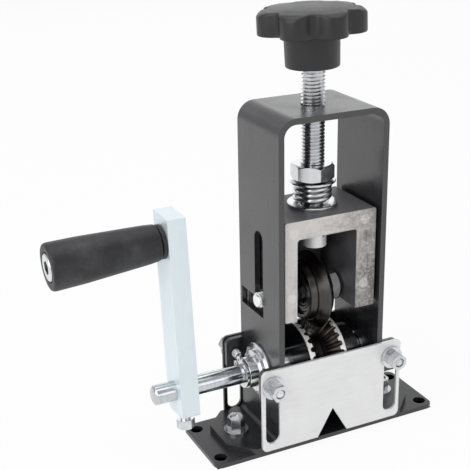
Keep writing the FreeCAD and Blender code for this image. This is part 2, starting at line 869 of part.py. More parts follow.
def pressure_spring():
    """Round-wire spring between the two washers, one unbroken coil."""
    wire = spring_wire / 2
    radius = spring_outer_radius - wire
    z0 = slider_top + 0.02 + lower_washer_thickness + wire + 0.03
    z1 = upper_washer_bottom - wire - 0.03
    path = helix_biarcs(radius, z0, z1, spring_turns, 4)
    start = path.Edges[0]
    tangent = start.tangentAt(start.FirstParameter)
    circle = Part.Wire(Part.Circle(Vector(radius, 0, z0), tangent, wire).toShape())
    coil = path.makePipeShell([circle], True, False)
    print("least gap between turns %.2f mm" % (least_self_distance(path) - spring_wire))
    print("spring volume %.1f, tube volume %.1f" % (coil.Volume, math.pi * wire ** 2 * path.Length))
    return coil


def star_knob():
    """Star knob: lobed head with a domed top on a tapered hub."""
    lobe_step = 360.0 / knob_lobe_count
    lobe_centre = knob_radius - knob_lobe_radius
    height = knob_top - knob_lobes_bottom
    core = Part.makeCylinder(lobe_centre + 2.4, height, Vector(0, 0, knob_lobes_bottom))
    for i in range(knob_lobe_count):
        a = math.radians(lobe_step * i + knob_turn)
        centre = Vector(lobe_centre * math.cos(a), lobe_centre * math.sin(a), knob_lobes_bottom)
        core = core.fuse(Part.makeCylinder(knob_lobe_radius, height, centre))
    core = core.removeSplitter()
    core = core.makeFillet(3.4, edges_along(core, Z_AXIS, lambda p: True))
    envelope = turned_z([
        (0, knob_lobes_bottom),
        (knob_radius - 1.0, knob_lobes_bottom),
        (knob_radius + 0.2, knob_lobes_bottom + 1.0),
        (knob_radius + 0.2, knob_lobes_top),
        (knob_radius - 3.0, knob_lobes_top + 1.9),
        (knob_radius - 6.5, knob_top - 0.9),
        (knob_radius - 11, knob_top - 0.4),
        (0, knob_top),
    ])
    hub = turned_z([
        (0, knob_hub_bottom),
        (knob_hub_radius - 1.0, knob_hub_bottom),
        (knob_hub_radius - 0.3, knob_hub_bottom + 0.7),
        (knob_hub_radius, knob_lobes_bottom - 0.6),
        (knob_hub_radius + 1.0, knob_lobes_bottom + 0.4),
        (0, knob_lobes_bottom + 0.4),
    ])
    knob = core.common(envelope).fuse(hub)
    turn = math.radians(knob_tilt_azimuth)
    away = Vector(math.cos(turn), math.sin(turn), 0)
    knob.rotate(Vector(0, 0, knob_hub_bottom), away, knob_tilt)
    knob.translate(Vector(away.y, -away.x, 0) * knob_shift)
    bore = cylinder(insert_radius + 0.01, Vector(0, 0, knob_hub_bottom - 1), Z_AXIS, insert_top - knob_hub_bottom + 1)
    return knob.cut(bore)


def knob_insert():
    """Threaded steel insert inside the knob's hub."""
    start = Vector(0, 0, knob_hub_bottom + 0.4)
    return tube(insert_radius, screw_radius + 0.01, start, Z_AXIS, insert_top - start.z - 0.05)


def build():
    """All nodes by name."""
    left_ring, right_ring = ring_places()
    inner_gap = 0.02
    return {
        "base_plate": base_plate(),
        "frame": frame(),
        "foot_bolts": foot_bolts(),
        "front_guide_plate": guide_plate(-1),
        "front_guide_studs": guide_studs(-1),
        "front_guide_nuts": guide_nuts(-1),
        "rear_guide_plate": guide_plate(1),
        "rear_guide_studs": guide_studs(1),
        "rear_guide_nuts": guide_nuts(1),
        "bushing_left": bushing(-1),
        "bushing_right": bushing(1),
        "crank_shaft": crank_shaft(),
        "shaft_ring_left": retaining_ring(Vector(left_ring, 0, shaft_z), X_AXIS, shaft_radius, 130),
        "shaft_ring_right": retaining_ring(Vector(right_ring, 0, shaft_z), X_AXIS, shaft_radius, 60),
        "feed_roller_left": feed_roller_left(),
        "feed_roller_right": feed_roller_right(),
        "roller_set_screw": roller_set_screw(),
        "roller_spacer_left": roller_spacer(-1),
        "roller_spacer_right": roller_spacer(1),
        "crank_arm": crank_arm(),
        "arm_set_screw": arm_set_screw(),
        "grip": grip(),
        "grip_bolt": grip_bolt(),
        "grip_collar": grip_collar(),
        "slider_block": slider_block(),
        "blade_axle_bolt": blade_axle_bolt(),
        "axle_lock_nut": axle_lock_nut(),
        "blade_spacer_left": blade_spacer(slider_opening_left + 6.54, -bearing_half_width - inner_gap),
        "blade_spacer_right": blade_spacer(bearing_half_width + inner_gap, axle_head_left - inner_gap),
        "blade_wheel": blade_wheel(),
        "bearing_outer_ring": bearing_ring(9.0, bearing_outer_radius, 7.5),
        "bearing_inner_ring": bearing_ring(axle_radius + 0.01, 6.0, 7.5),
        "bearing_balls": bearing_balls(),
        "adjusting_screw": adjusting_screw(),
        "screw_retaining_pin": screw_retaining_pin(),
        "lock_nut": lock_nut(),
        "upper_washer": upper_washer(),
        "lower_washer": lower_washer(),
        "pressure_spring": pressure_spring(),
        "star_knob": star_knob(),
        "knob_insert": knob_insert(),
    }


def main():
    """Write one STEP file for each node."""
    os.makedirs("parts", exist_ok=True)
    for name, shape in build().items():
        if not shape.isValid():
            print("not valid:", name)
        shape.exportStep("parts/%s.step" % name)
        print("%-22s %2d solids %9.1f mm3" % (name, len(shape.Solids), shape.Volume))


if __name__ == "__main__":
    main()
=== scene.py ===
"""Hand crank wire stripper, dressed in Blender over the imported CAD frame.

Every piece is drawn in millimetres in the row frame: X along the crank shaft with
the handle at -X, Y along the wire, +Z up, the base plate's underside at Z = 0.
"""
from __future__ import annotations

import json
import logging
import math
from dataclasses import dataclass, field
from enum import Enum

import bmesh
import bpy
from mathutils import Matrix, Vector

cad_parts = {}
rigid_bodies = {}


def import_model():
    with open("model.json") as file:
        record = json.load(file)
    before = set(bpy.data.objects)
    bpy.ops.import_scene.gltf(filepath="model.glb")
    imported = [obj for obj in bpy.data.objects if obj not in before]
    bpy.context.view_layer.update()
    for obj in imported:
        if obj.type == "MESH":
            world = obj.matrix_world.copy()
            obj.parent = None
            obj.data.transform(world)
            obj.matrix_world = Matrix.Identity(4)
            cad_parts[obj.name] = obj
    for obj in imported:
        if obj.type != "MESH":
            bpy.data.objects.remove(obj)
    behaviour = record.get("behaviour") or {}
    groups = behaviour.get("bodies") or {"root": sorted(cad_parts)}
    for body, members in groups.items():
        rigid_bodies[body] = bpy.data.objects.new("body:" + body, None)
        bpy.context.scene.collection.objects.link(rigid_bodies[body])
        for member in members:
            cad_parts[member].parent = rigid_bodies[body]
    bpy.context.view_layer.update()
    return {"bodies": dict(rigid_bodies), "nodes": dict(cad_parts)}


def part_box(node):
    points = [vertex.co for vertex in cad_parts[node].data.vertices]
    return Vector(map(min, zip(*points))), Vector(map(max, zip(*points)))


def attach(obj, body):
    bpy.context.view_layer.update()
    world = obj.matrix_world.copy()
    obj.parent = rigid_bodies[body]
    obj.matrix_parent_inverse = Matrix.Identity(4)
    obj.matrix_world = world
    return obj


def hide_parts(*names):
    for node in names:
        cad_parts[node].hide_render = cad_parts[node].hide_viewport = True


Triple = tuple[float, float, float]
Profile = list[tuple[float, float]]
Shape = bmesh.types.BMesh
Socket = bpy.types.NodeSocket
Inputs = dict[str | int, object]

LOG = logging.getLogger("wire_stripper")
MM = 0.001
FULL_TURN = 2 * math.pi
WELD = 0.002
CUT_TOLERANCE = 1e-5
HARD_EDGE_DEGREES = 40.0
WHITE = (1.0, 1.0, 1.0, 1.0)


class Axis(Enum):
    """Unit vectors that pieces are turned about."""

    X = (1.0, 0.0, 0.0)
    Z = (0.0, 0.0, 1.0)

    @property
    def vector(self) -> Vector:
        """The axis as a vector."""
        return Vector(self.value)


class Slot(Enum):
    """Material slots of the record."""

    BLACK_PAINT = "black_paint"
    BRIGHT_PLATE = "bright_plate"
    ZINC = "zinc"
    POLISHED = "polished_steel"
    SPRING = "spring_steel"
    DARK = "dark_steel"
    PALE_ZINC = "pale_zinc"
    CAST = "cast_metal"
    PLASTIC = "black_plastic"
    RUBBER = "black_rubber"


# Materials


class Wiring:
    """Short calls for adding and linking the nodes of one tree."""

    def __init__(self, tree: bpy.types.NodeTree) -> None:
        """Start on the tree, emptied."""
        self.tree = tree
        tree.nodes.clear()

    def node(self, kind: str, inputs: Inputs | None = None, **settings: object) -> bpy.types.Node:
        """Add a node.

        Args:
            kind: the node's type.
            inputs: sockets to link or plain values to set, by the input's name or number.
            settings: the node's own properties.

        Returns:
            The node.
        """
        made = self.tree.nodes.new(kind)
        for key, value in settings.items():
            setattr(made, key, value)
        for key, value in (inputs or {}).items():
            self.put(made.inputs[key], value)
        return made

    def put(self, target: Socket, value: object) -> None:
        """Link a socket, or set its plain value.

        Args:
            target: the input.
            value: a socket to link, or a value to set.
        """
        if isinstance(value, bpy.types.NodeSocket):
            self.tree.links.new(value, target)
        else:
            target.default_value = value

    def span(self, value: Socket, low: float, high: float, start: float = 0.0, end: float = 1.0) -> Socket:
        """Value mapped from one range to another, and held inside it."""
        ends = {"From Min": low, "From Max": high, "To Min": start, "To Max": end}
        return self.node("ShaderNodeMapRange", {"Value": value, **ends}, clamp=True).outputs["Result"]

    def math(self, operation: str, first: object, second: object = 0.0) -> Socket:
        """One arithmetic step."""
        return self.node("ShaderNodeMath", {0: first, 1: second}, operation=operation).outputs[0]

    def times(self, first: object, second: object) -> Socket:
        """Product of two values."""
        return self.math("MULTIPLY", first, second)

    def plus(self, first: object, second: object) -> Socket:
        """Sum of two values."""
        return self.math("ADD", first, second)

    def minus(self, first: object, second: object) -> Socket:
        """Difference of two values."""
        return self.math("SUBTRACT", first, second)

    def unsigned(self, value: Socket) -> Socket:
        """A value without its sign."""
        return self.math("ABSOLUTE", value)

    def blend_out(self, share: Socket, first: bpy.types.Node, second: bpy.types.Node, output: str) -> None:
        """Mix two shaders and send the result to an output node of the named type."""
        mix = self.node("ShaderNodeMixShader", {0: share, 1: first.outputs[0], 2: second.outputs[0]})
        self.node(output, {"Surface": mix.outputs[0]})


class Sheet(Wiring):
    """One material with a principled shader, wired over its object's coordinates."""

    def __init__(self, name: str) -> None:
        """Start a material that holds one principled shader.

        Args:
            name: the material's name.
        """
        self.material = bpy.data.materials.new(name)
        self.material.use_nodes = True
        super().__init__(self.material.node_tree)
        self.shader = self.node("ShaderNodeBsdfPrincipled")
        self.node("ShaderNodeOutputMaterial", {"Surface": self.shader.outputs["BSDF"]})
        self.object = self.node("ShaderNodeTexCoord").outputs["Object"]

    def stretched(self, scale: Triple) -> Socket:
        """Object coordinates scaled differently along each axis."""
        return self.node("ShaderNodeMapping", {"Vector": self.object, "Scale": scale}).outputs["Vector"]

    def noise(
        self,
        scale: float,
        detail: float,
        rough: float = 0.55,
        place: Socket | None = None,
    ) -> Socket:
        """Noise value over the object's coordinates, or over other ones."""
        inputs = {"Vector": place or self.object, "Scale": scale, "Detail": detail, "Roughness": rough}
        return self.node("ShaderNodeTexNoise", inputs).outputs["Fac"]

    def streaks(self, stretch: Triple, detail: float = 4.0) -> Socket:
        """Noise drawn out along the axes that are stretched least."""
        return self.noise(1.0, detail, rough=0.6, place=self.stretched(stretch))

    def mix(self, factor: object, first: object, second: object) -> Socket:
        """Blend of two colours."""
        inputs = {0: factor, 6: rgba(first), 7: rgba(second)}
        return self.node("ShaderNodeMix", inputs, data_type="RGBA").outputs[2]

    def axes(self) -> list[Socket]:
        """X, Y and Z of the object's coordinates, in metres."""
        return list(self.node("ShaderNodeSeparateXYZ", {0: self.object}).outputs)

    def bump(self, height: Socket, depth_mm: float, strength: float) -> None:
        """Fine relief under the shader."""
        inputs = {"Strength": strength, "Distance": depth_mm * MM, "Height": height}
        self.put(self.shader.inputs["Normal"], self.node("ShaderNodeBump", inputs).outputs["Normal"])

    def dress(self, colour: object, metallic: object, roughness: object, specular: object = 0.5) -> None:
        """Set the shader's main inputs.

        Args:
            colour: three parts, or a socket.
            metallic: share of bare metal.
            roughness: how matt the surface is.
            specular: strength of the reflection that isn't metallic.
        """
        self.put(self.shader.inputs["Base Color"], rgba(colour))
        self.put(self.shader.inputs["Metallic"], metallic)
        self.put(self.shader.inputs["Roughness"], roughness)
        self.put(self.shader.inputs["Specular IOR Level"], specular)


def rgba(colour: object) -> object:
    """Colour with an alpha of one, or the socket as it came.

    Args:
        colour: three parts, or a socket.

    Returns:
        Four parts, or the same socket.
    """
    if isinstance(colour, tuple) and len(colour) == 3:
        return (*colour, 1.0)
    return colour


def brighter(colour: Triple, factor: float) -> Triple:
    """Colour with every part multiplied."""
    return tuple(part * factor for part in colour)


@dataclass(frozen=True)
class Coating:
    """Semi-gloss black stove enamel with orange peel and small scuffs, and painted shade that weakens its
    reflection toward the foot.
    """

    name: str
    colour: Triple = (0.015, 0.015, 0.017)
    roughness: float = 0.28
    peel_mm: float = 0.035
    scuffs: bool = True
    scuff_colour: Triple = (0.42, 0.42, 0.42)
    scuff_stretch: Triple = (330.0, 330.0, 190.0)
    bend_z_mm: float = 161.5
    full_sheen_z_mm: float = 30.0
    low_sheen_z_mm: float = 6.0
    foot_shade_sheen: float = 0.7

    def material(self) -> bpy.types.Material:
        """Build the coat.

        Returns:
            The material.
        """
        sheet = Sheet(self.name)
        cloud = sheet.noise(60.0, detail=4.0)
        colour = sheet.mix(sheet.span(cloud, 0.35, 0.75), self.colour, brighter(self.colour, 1.25))
        if self.scuffs:
            colour = sheet.mix(self.scuff_mask(sheet), colour, self.scuff_colour)
        rough = sheet.times(sheet.span(cloud, 0.3, 0.7, 0.82, 1.18), self.roughness)
        # Painted shade: the reflection fades from full_sheen_z_mm down to low_sheen_z_mm, so the lower
        # parts look darker.
        height = sheet.axes()[2]
        sheen = sheet.span(height, self.low_sheen_z_mm * MM, self.full_sheen_z_mm * MM, self.foot_shade_sheen, 1.0)
        sheet.dress(colour, 0.0, rough, sheen)
        sheet.bump(sheet.noise(900.0, detail=2.0), self.peel_mm, strength=0.35)
        return sheet.material

    def scuff_mask(self, sheet: Sheet) -> Socket:
        """Nicks on the front of the left bend, and a few fine specks.

        Args:
            sheet: the material that it is wired into.

        Returns:
            One where the paint is rubbed, and zero elsewhere.
        """
        x, y, z = sheet.axes()
        cells = {"Vector": sheet.stretched(self.scuff_stretch), "Scale": 1.0}
        dots = sheet.node("ShaderNodeTexVoronoi", cells)
        chance = sheet.node("ShaderNodeSeparateXYZ", {0: dots.outputs["Color"]}).outputs[0]
        spot = sheet.span(dots.outputs["Distance"], 0.16, 0.26, 1.0, 0.0)
        nick = sheet.times(spot, sheet.span(chance, 0.45, 0.65))
        level = sheet.span(sheet.unsigned(sheet.minus(z, self.bend_z_mm * MM)), 0.003, 0.0065, 1.0, 0.0)
        left = sheet.span(x, -0.027, -0.0235, 1.0, 0.0)
        front = sheet.span(y, -0.0205, 0.004, 0.9, 0.0)
        bend = sheet.times(sheet.times(level, left), front)
        specks = sheet.span(sheet.noise(1300.0, detail=1.0, rough=0.4), 0.80, 0.84, 0.0, 0.35)
        return sheet.math("MAXIMUM", sheet.times(nick, bend), specks)


@dataclass(frozen=True)
class Metal:
    """Bare or plated metal with drawn or turned streaks."""

    name: str
    colour: Triple
    roughness: float = 0.19
    streaks: Triple = (350.0, 350.0, 350.0)
    streak_depth: float = 0.10
    tint: Triple = (0.9, 0.9, 0.9)
    relief_mm: float = 0.004
    diffuse: float = 0.0

    def material(self) -> bpy.types.Material:
        """Build the metal.

        Returns:
            The material.
        """
        sheet = Sheet(self.name)
        lines = sheet.streaks(self.streaks, 5.0)
        cloud = sheet.noise(85.0, detail=4.0)
        dark = tuple(c * t for c, t in zip(self.colour, self.tint))
        mask = sheet.span(sheet.plus(sheet.times(lines, 0.5), sheet.times(cloud, 0.5)), 0.36, 0.62)
        half = self.streak_depth / 2
        rough = sheet.span(lines, 0.3, 0.7, self.roughness - half, self.roughness + half)
        sheet.dress(sheet.mix(mask, dark, self.colour), 1.0 - self.diffuse, rough)
        sheet.bump(lines, self.relief_mm, strength=0.5)
        return sheet.material


@dataclass(frozen=True)
class RollerSteel:
    """Browned tool steel with black outer faces, rim lands ground bright that are partly painted highlight,
    and painted shade in the groove.
    """

    name: str
    radius_mm: float
    axis_z_mm: float
    outer_x_mm: float
    groove_mm: tuple[float, float] = (13.0, 16.5)
    dark: Triple = (0.075, 0.060, 0.054)
    groove_shade: Triple = (0.020, 0.017, 0.016)
    black: Triple = (0.014, 0.014, 0.015)
    bright: Triple = (0.95, 0.93, 0.90)

    def material(self) -> bpy.types.Material:
        """Build the steel; the bright part, partly painted highlight, starts at the rim's radius.

        Returns:
            The material.
        """
        sheet = Sheet(self.name)
        x, y, z = sheet.axes()
        rise = sheet.minus(z, self.axis_z_mm * MM)
        radius = sheet.math("SQRT", sheet.plus(sheet.times(y, y), sheet.times(rise, rise)))
        rim = sheet.span(radius, (self.radius_mm - 0.42) * MM, (self.radius_mm - 0.2) * MM)
        # Painted shade: the groove gets darker toward its floor.
        floor, flank = self.groove_mm
        groove = sheet.span(radius, floor * MM, flank * MM, 1.0, 0.0)
        outer = sheet.span(sheet.minus(sheet.unsigned(x), (self.outer_x_mm - 0.15) * MM), 0.0, 0.0001)
        rust = sheet.noise(220.0, detail=5.0, rough=0.65)
        brown = sheet.mix(sheet.span(rust, 0.42, 0.68), self.dark, brighter(self.dark, 2.1))
        unlit = sheet.mix(outer, sheet.mix(groove, brown, self.groove_shade), self.black)
        polish = sheet.plus(sheet.times(rim, 0.08), sheet.times(outer, 0.14))
        rough = sheet.minus(sheet.span(rust, 0.3, 0.7, 0.28, 0.42), polish)
        # Partly painted highlight: the ground rim land gets a near-white, mostly plain colour that stands
        # in for its reflection.
        plain = sheet.math("MAXIMUM", outer, sheet.times(rim, 0.65))
        metallic = sheet.times(sheet.minus(1.0, plain), 0.9)
        sheet.dress(sheet.mix(rim, unlit, self.bright), metallic, rough)
        sheet.bump(rust, 0.02, strength=0.3)
        return sheet.material


@dataclass(frozen=True)
class CastMetal:
    """Die-cast block: bare, mottled ends and a dark skin on every other face, with painted light on the top
    face and the boss.
    """

    name: str
    bare_from_mm: float
    bare: Triple = (0.66, 0.63, 0.605)
    darker_tone: Triple = (0.17, 0.155, 0.145)
    boss: Triple = (0.98, 0.98, 0.97)
    skin: Triple = (0.060, 0.060, 0.064)
    painted_light_top: Triple = (0.17, 0.17, 0.176)
    top_mm: float = 122.0
    beam_mm: float = 112.6

    def material(self) -> bpy.types.Material:
        """Build the cast surface.

        Returns:
            The material.
        """
        sheet = Sheet(self.name)
        x, y, z = sheet.axes()
        blotch = sheet.noise(95.0, detail=6.0, rough=0.68)
        fine = sheet.noise(700.0, detail=3.0, rough=0.6)
        skin = sheet.mix(sheet.span(blotch, 0.35, 0.7), self.skin, brighter(self.skin, 1.9))
        # Painted light: the top face gets a lighter copy of the skin.
        top = sheet.span(z, (self.top_mm - 0.5) * MM, (self.top_mm - 0.1) * MM)
        skin = sheet.mix(top, skin, self.painted_light_top)
        end = sheet.span(sheet.unsigned(y), (self.bare_from_mm - 0.3) * MM, (self.bare_from_mm - 0.06) * MM)
        colour = sheet.mix(end, skin, self.bare_end(sheet, blotch, fine))
        # Partly painted light: the machined boss is made near-white to make up for the beam's shade over
        # it.
        colour = sheet.mix(self.boss_mask(sheet, x, y, z), colour, self.boss)
        sheet.dress(colour, 0.25, sheet.span(blotch, 0.3, 0.7, 0.42, 0.58))
        sheet.bump(sheet.plus(sheet.times(fine, 0.5), blotch), 0.06, strength=0.35)
        return sheet.material

    def boss_mask(self, sheet: Sheet, x: Socket, y: Socket, z: Socket) -> Socket:
        """The machined boss that hangs under the beam.

        Args:
            sheet: the material that it is wired into.
            x: the place along the shaft, in metres.
            y: the place along the wire.
            z: the height.

        Returns:
            One on the boss, and zero elsewhere.
        """
        low = sheet.span(z, (self.beam_mm - 0.4) * MM, self.beam_mm * MM, 1.0, 0.0)
        middle = sheet.span(sheet.unsigned(x), 0.0078, 0.0082, 1.0, 0.0)
        inside = sheet.span(sheet.unsigned(y), 0.0090, 0.0095, 1.0, 0.0)
        return sheet.times(sheet.times(low, middle), inside)

    def bare_end(self, sheet: Sheet, blotch: Socket, fine: Socket) -> Socket:
        """Bare metal wiped along the beam and the legs, and darker toward the right foot.

        Args:
            sheet: the material that it is wired into.
            blotch: broad noise.
            fine: fine noise.

        Returns:
            The colour of an end face.
        """
        x, _, z = sheet.axes()
        upright = sheet.streaks((620.0, 300.0, 45.0))
        level = sheet.streaks((60.0, 300.0, 620.0))
        beam = sheet.span(z, 0.1105, 0.1135)
        wiped = sheet.plus(sheet.times(level, beam), sheet.times(upright, sheet.minus(1.0, beam)))
        # The ends get darker toward the right foot.
        slope = sheet.plus(sheet.times(x, 14.0), sheet.times(z, -5.0))
        darkening = sheet.plus(sheet.plus(blotch, sheet.times(wiped, 0.6)), sheet.plus(slope, 0.17))
        bare = sheet.mix(sheet.span(darkening, 0.22, 0.95), self.bare, self.darker_tone)
        return sheet.mix(sheet.span(fine, 0.45, 0.72, 0.0, 0.5), bare, brighter(self.bare, 1.2))


@dataclass(frozen=True)
class Moulded:
    """Moulded plastic or rubber with a fine grain and pale handling marks."""

    name: str
    colour: Triple
    roughness: float
    grain_scale: float = 1100.0
    grain_mm: float = 0.03
    bloom: float = 0.0
    bloom_colour: Triple = (0.14, 0.14, 0.145)

    def material(self) -> bpy.types.Material:
        """Build the moulded surface.

        Returns:
            The material.
        """
        sheet = Sheet(self.name)
        cloud = sheet.noise(70.0, detail=5.0, rough=0.62)
        haze = sheet.span(cloud, 0.46, 0.74, 0.0, self.bloom)
        rough = sheet.span(cloud, 0.3, 0.7, self.roughness - 0.06, self.roughness + 0.06)
        sheet.dress(sheet.mix(haze, self.colour, self.bloom_colour), 0.0, rough)
        sheet.bump(sheet.noise(self.grain_scale, detail=2.0), self.grain_mm, strength=0.4)
        return sheet.material


# Shapes


def softened(points: Profile, radius: float, segments: int = 3) -> Profile:
    """Round the inner corners of an open polyline.

    Args:
        points: corners in order.
        radius: length cut from each side of a corner.
        segments: steps of each rounding.

    Returns:
        The longer list of points.
    """
    done = [points[0]]
    for before, here, after in zip(points, points[1:], points[2:]):
        a, b, c = Vector(before), Vector(here), Vector(after)
        cut = min(radius, (a - b).length * 0.45, (c - b).length * 0.45)
        start = b + (a - b).normalized() * cut
        end = b + (c - b).normalized() * cut
        for i in range(segments + 1):
            t = i / segments
            done.append(tuple(start * (1 - t) ** 2 + b * (2 * t * (1 - t)) + end * t ** 2))
    done.append(points[-1])
    return done


def chained(points: list[Vector]) -> Shape:
    """A mesh that holds one line of points joined by edges.

    Args:
        points: places in order.

    Returns:
        The mesh.
    """
    shape = bmesh.new()
    made = [shape.verts.new(point) for point in points]
    for pair in zip(made, made[1:]):
        shape.edges.new(pair)
    return shape


def turned(profile: Profile, axis: Axis, centre: Triple, steps: int = 64) -> Shape:
    """Spin a profile of (place along the axis, radius) pairs through a full turn.

    Args:
        profile: the outline, open or closed by its own last point.
        axis: the axis it turns about.
        centre: a point on that axis, added to every place.
        steps: facets round the turn.

    Returns:
        A mesh in millimetres.
    """
    side = Vector((0, 0, 1)) if axis is not Axis.Z else Vector((1, 0, 0))
    shape = chained([Vector(centre) + axis.vector * p + side * r for p, r in profile])
    bmesh.ops.spin(
        shape,
        geom=[*shape.verts, *shape.edges],
        cent=centre,
        axis=axis.value,
        angle=FULL_TURN,
        steps=steps,
        use_merge=True,
    )
    bmesh.ops.remove_doubles(shape, verts=shape.verts, dist=WELD)
    return shape


def coiled(shape: Shape, angle: float, rise: float, steps: int) -> None:
    """Spin all that a shape holds about the Z axis while it rises.

    Args:
        shape: a section, whose sweep is added to it.
        angle: the whole turn in radians.
        rise: how far each step lifts the section.
        steps: number of steps.
    """
    bmesh.ops.spin(
        shape,
        geom=[*shape.verts, *shape.edges, *shape.faces],
        cent=(0, 0, 0),
        axis=Axis.Z.value,
        dvec=(0, 0, rise),
        angle=angle,
        steps=steps,
        use_merge=False,
    )


def closed_turned(profile: Profile, axis: Axis, centre: Triple, rounding: float, steps: int = 64) -> Shape:
    """Spin a closed ring profile whose corners are rounded first."""
    middle = ((profile[0][0] + profile[-1][0]) / 2, (profile[0][1] + profile[-1][1]) / 2)
    return turned(softened([middle, *profile, middle], rounding), axis, centre, steps)


def meshed(shape: Shape, name: str) -> bpy.types.Mesh:
    """Mesh data from a shape, which is freed.

    Args:
        shape: what the mesh holds; it is used up.
        name: the mesh's name.

    Returns:
        The mesh.
    """
    mesh = bpy.data.meshes.new(name)
    shape.to_mesh(mesh)
    shape.free()
    return mesh


def added(name: str, data: bpy.types.ID) -> bpy.types.Object:
    """A new object in the scene.

    Args:
        name: the object's name.
        data: its mesh, light or camera.

    Returns:
        The object.
    """
    made = bpy.data.objects.new(name, data)
    bpy.context.scene.collection.objects.link(made)
    return made


def joined(shapes: list[Shape]) -> Shape:
    """Gather several meshes in the first, and free the others.

    Args:
        shapes: the meshes; all but the first are used up.

    Returns:
        The first, which holds them all.
    """
    first = shapes[0]
    for other in shapes[1:]:
        mesh = meshed(other, "gathered")
        first.from_mesh(mesh)
        bpy.data.meshes.remove(mesh)
    return first


def fill_openings(shape: Shape) -> None:
    """Close every open loop of edges with one flat face.

    Args:
        shape: the mesh to close.
    """
    rims = [edge for edge in shape.edges if edge.is_boundary]
    if rims:
        bmesh.ops.holes_fill(shape, edges=rims, sides=0)


def cut_away(shape: Shape, point: Vector, outward: Vector) -> None:
    """Remove what lies beyond a plane and close the cut.

    Args:
        shape: the mesh to trim.
        point: a place on the plane.
        outward: the side of the plane that goes.
    """
    bmesh.ops.bisect_plane(
        shape,
        geom=[*shape.verts, *shape.edges, *shape.faces],
        dist=CUT_TOLERANCE,
        plane_co=point,
        plane_no=outward,
        clear_outer=True,
    )
    fill_openings(shape)


def placed(shape: Shape, start: Vector, direction: Vector) -> Shape:
    """Move a shape drawn along +Z so that it runs from a start along a direction.

    Args:
        shape: the mesh.
        start: where its origin goes.
        direction: where its +Z points then.

    Returns:
        The same mesh.
    """
    turn = Vector((0, 0, 1)).rotation_difference(direction).to_matrix().to_4x4()
    bmesh.ops.transform(shape, matrix=Matrix.Translation(start) @ turn, verts=shape.verts)
    return shape


@dataclass(frozen=True)
class Thread:
    """Threaded rod drawn along +Z from zero to its length, with led-in ends."""

    radius: float
    pitch: float
    length: float
    lead: float = 1.0
    steps: int = 24
    tip_depth: float = 0.15
    depth_share: float = 0.6

    def build(self) -> Shape:
        """Spin one pitch of the thread's flank upward, then trim and close the ends.

        Returns:
            A closed mesh in millimetres.
        """
        root = self.radius - self.depth_share * self.pitch
        turns = math.ceil(self.length / self.pitch) + 2
        start = -self.pitch
        flank = [(0.0, root), (0.10, root), (0.44, self.radius), (0.62, self.radius), (1.0, root)]
        shape = chained([Vector((r, 0, start + t * self.pitch)) for t, r in flank])
        coiled(shape, FULL_TURN * turns, self.pitch / self.steps, self.steps * turns)
        bmesh.ops.remove_doubles(shape, verts=shape.verts, dist=WELD)
        cut_away(shape, Vector((0, 0, 0)), Vector((0, 0, -1)))
        cut_away(shape, Vector((0, 0, self.length)), Vector((0, 0, 1)))
        self.lead_in(shape, root)
        return shape

    def lead_in(self, shape: Shape, root: float) -> None:
        """Bring the thread's crests down to the root at both ends.

        Args:
            shape: the trimmed thread.
            root: radius at the thread's root.
        """
        for vertex in shape.verts:
            inside = min(vertex.co.z, self.length - vertex.co.z)
            tip = root - self.tip_depth
            limit = tip + max(inside, 0.0) * (self.radius - tip) / self.lead
            radius = math.hypot(vertex.co.x, vertex.co.y)
            if radius > limit:
                vertex.co.x *= limit / radius
                vertex.co.y *= limit / radius


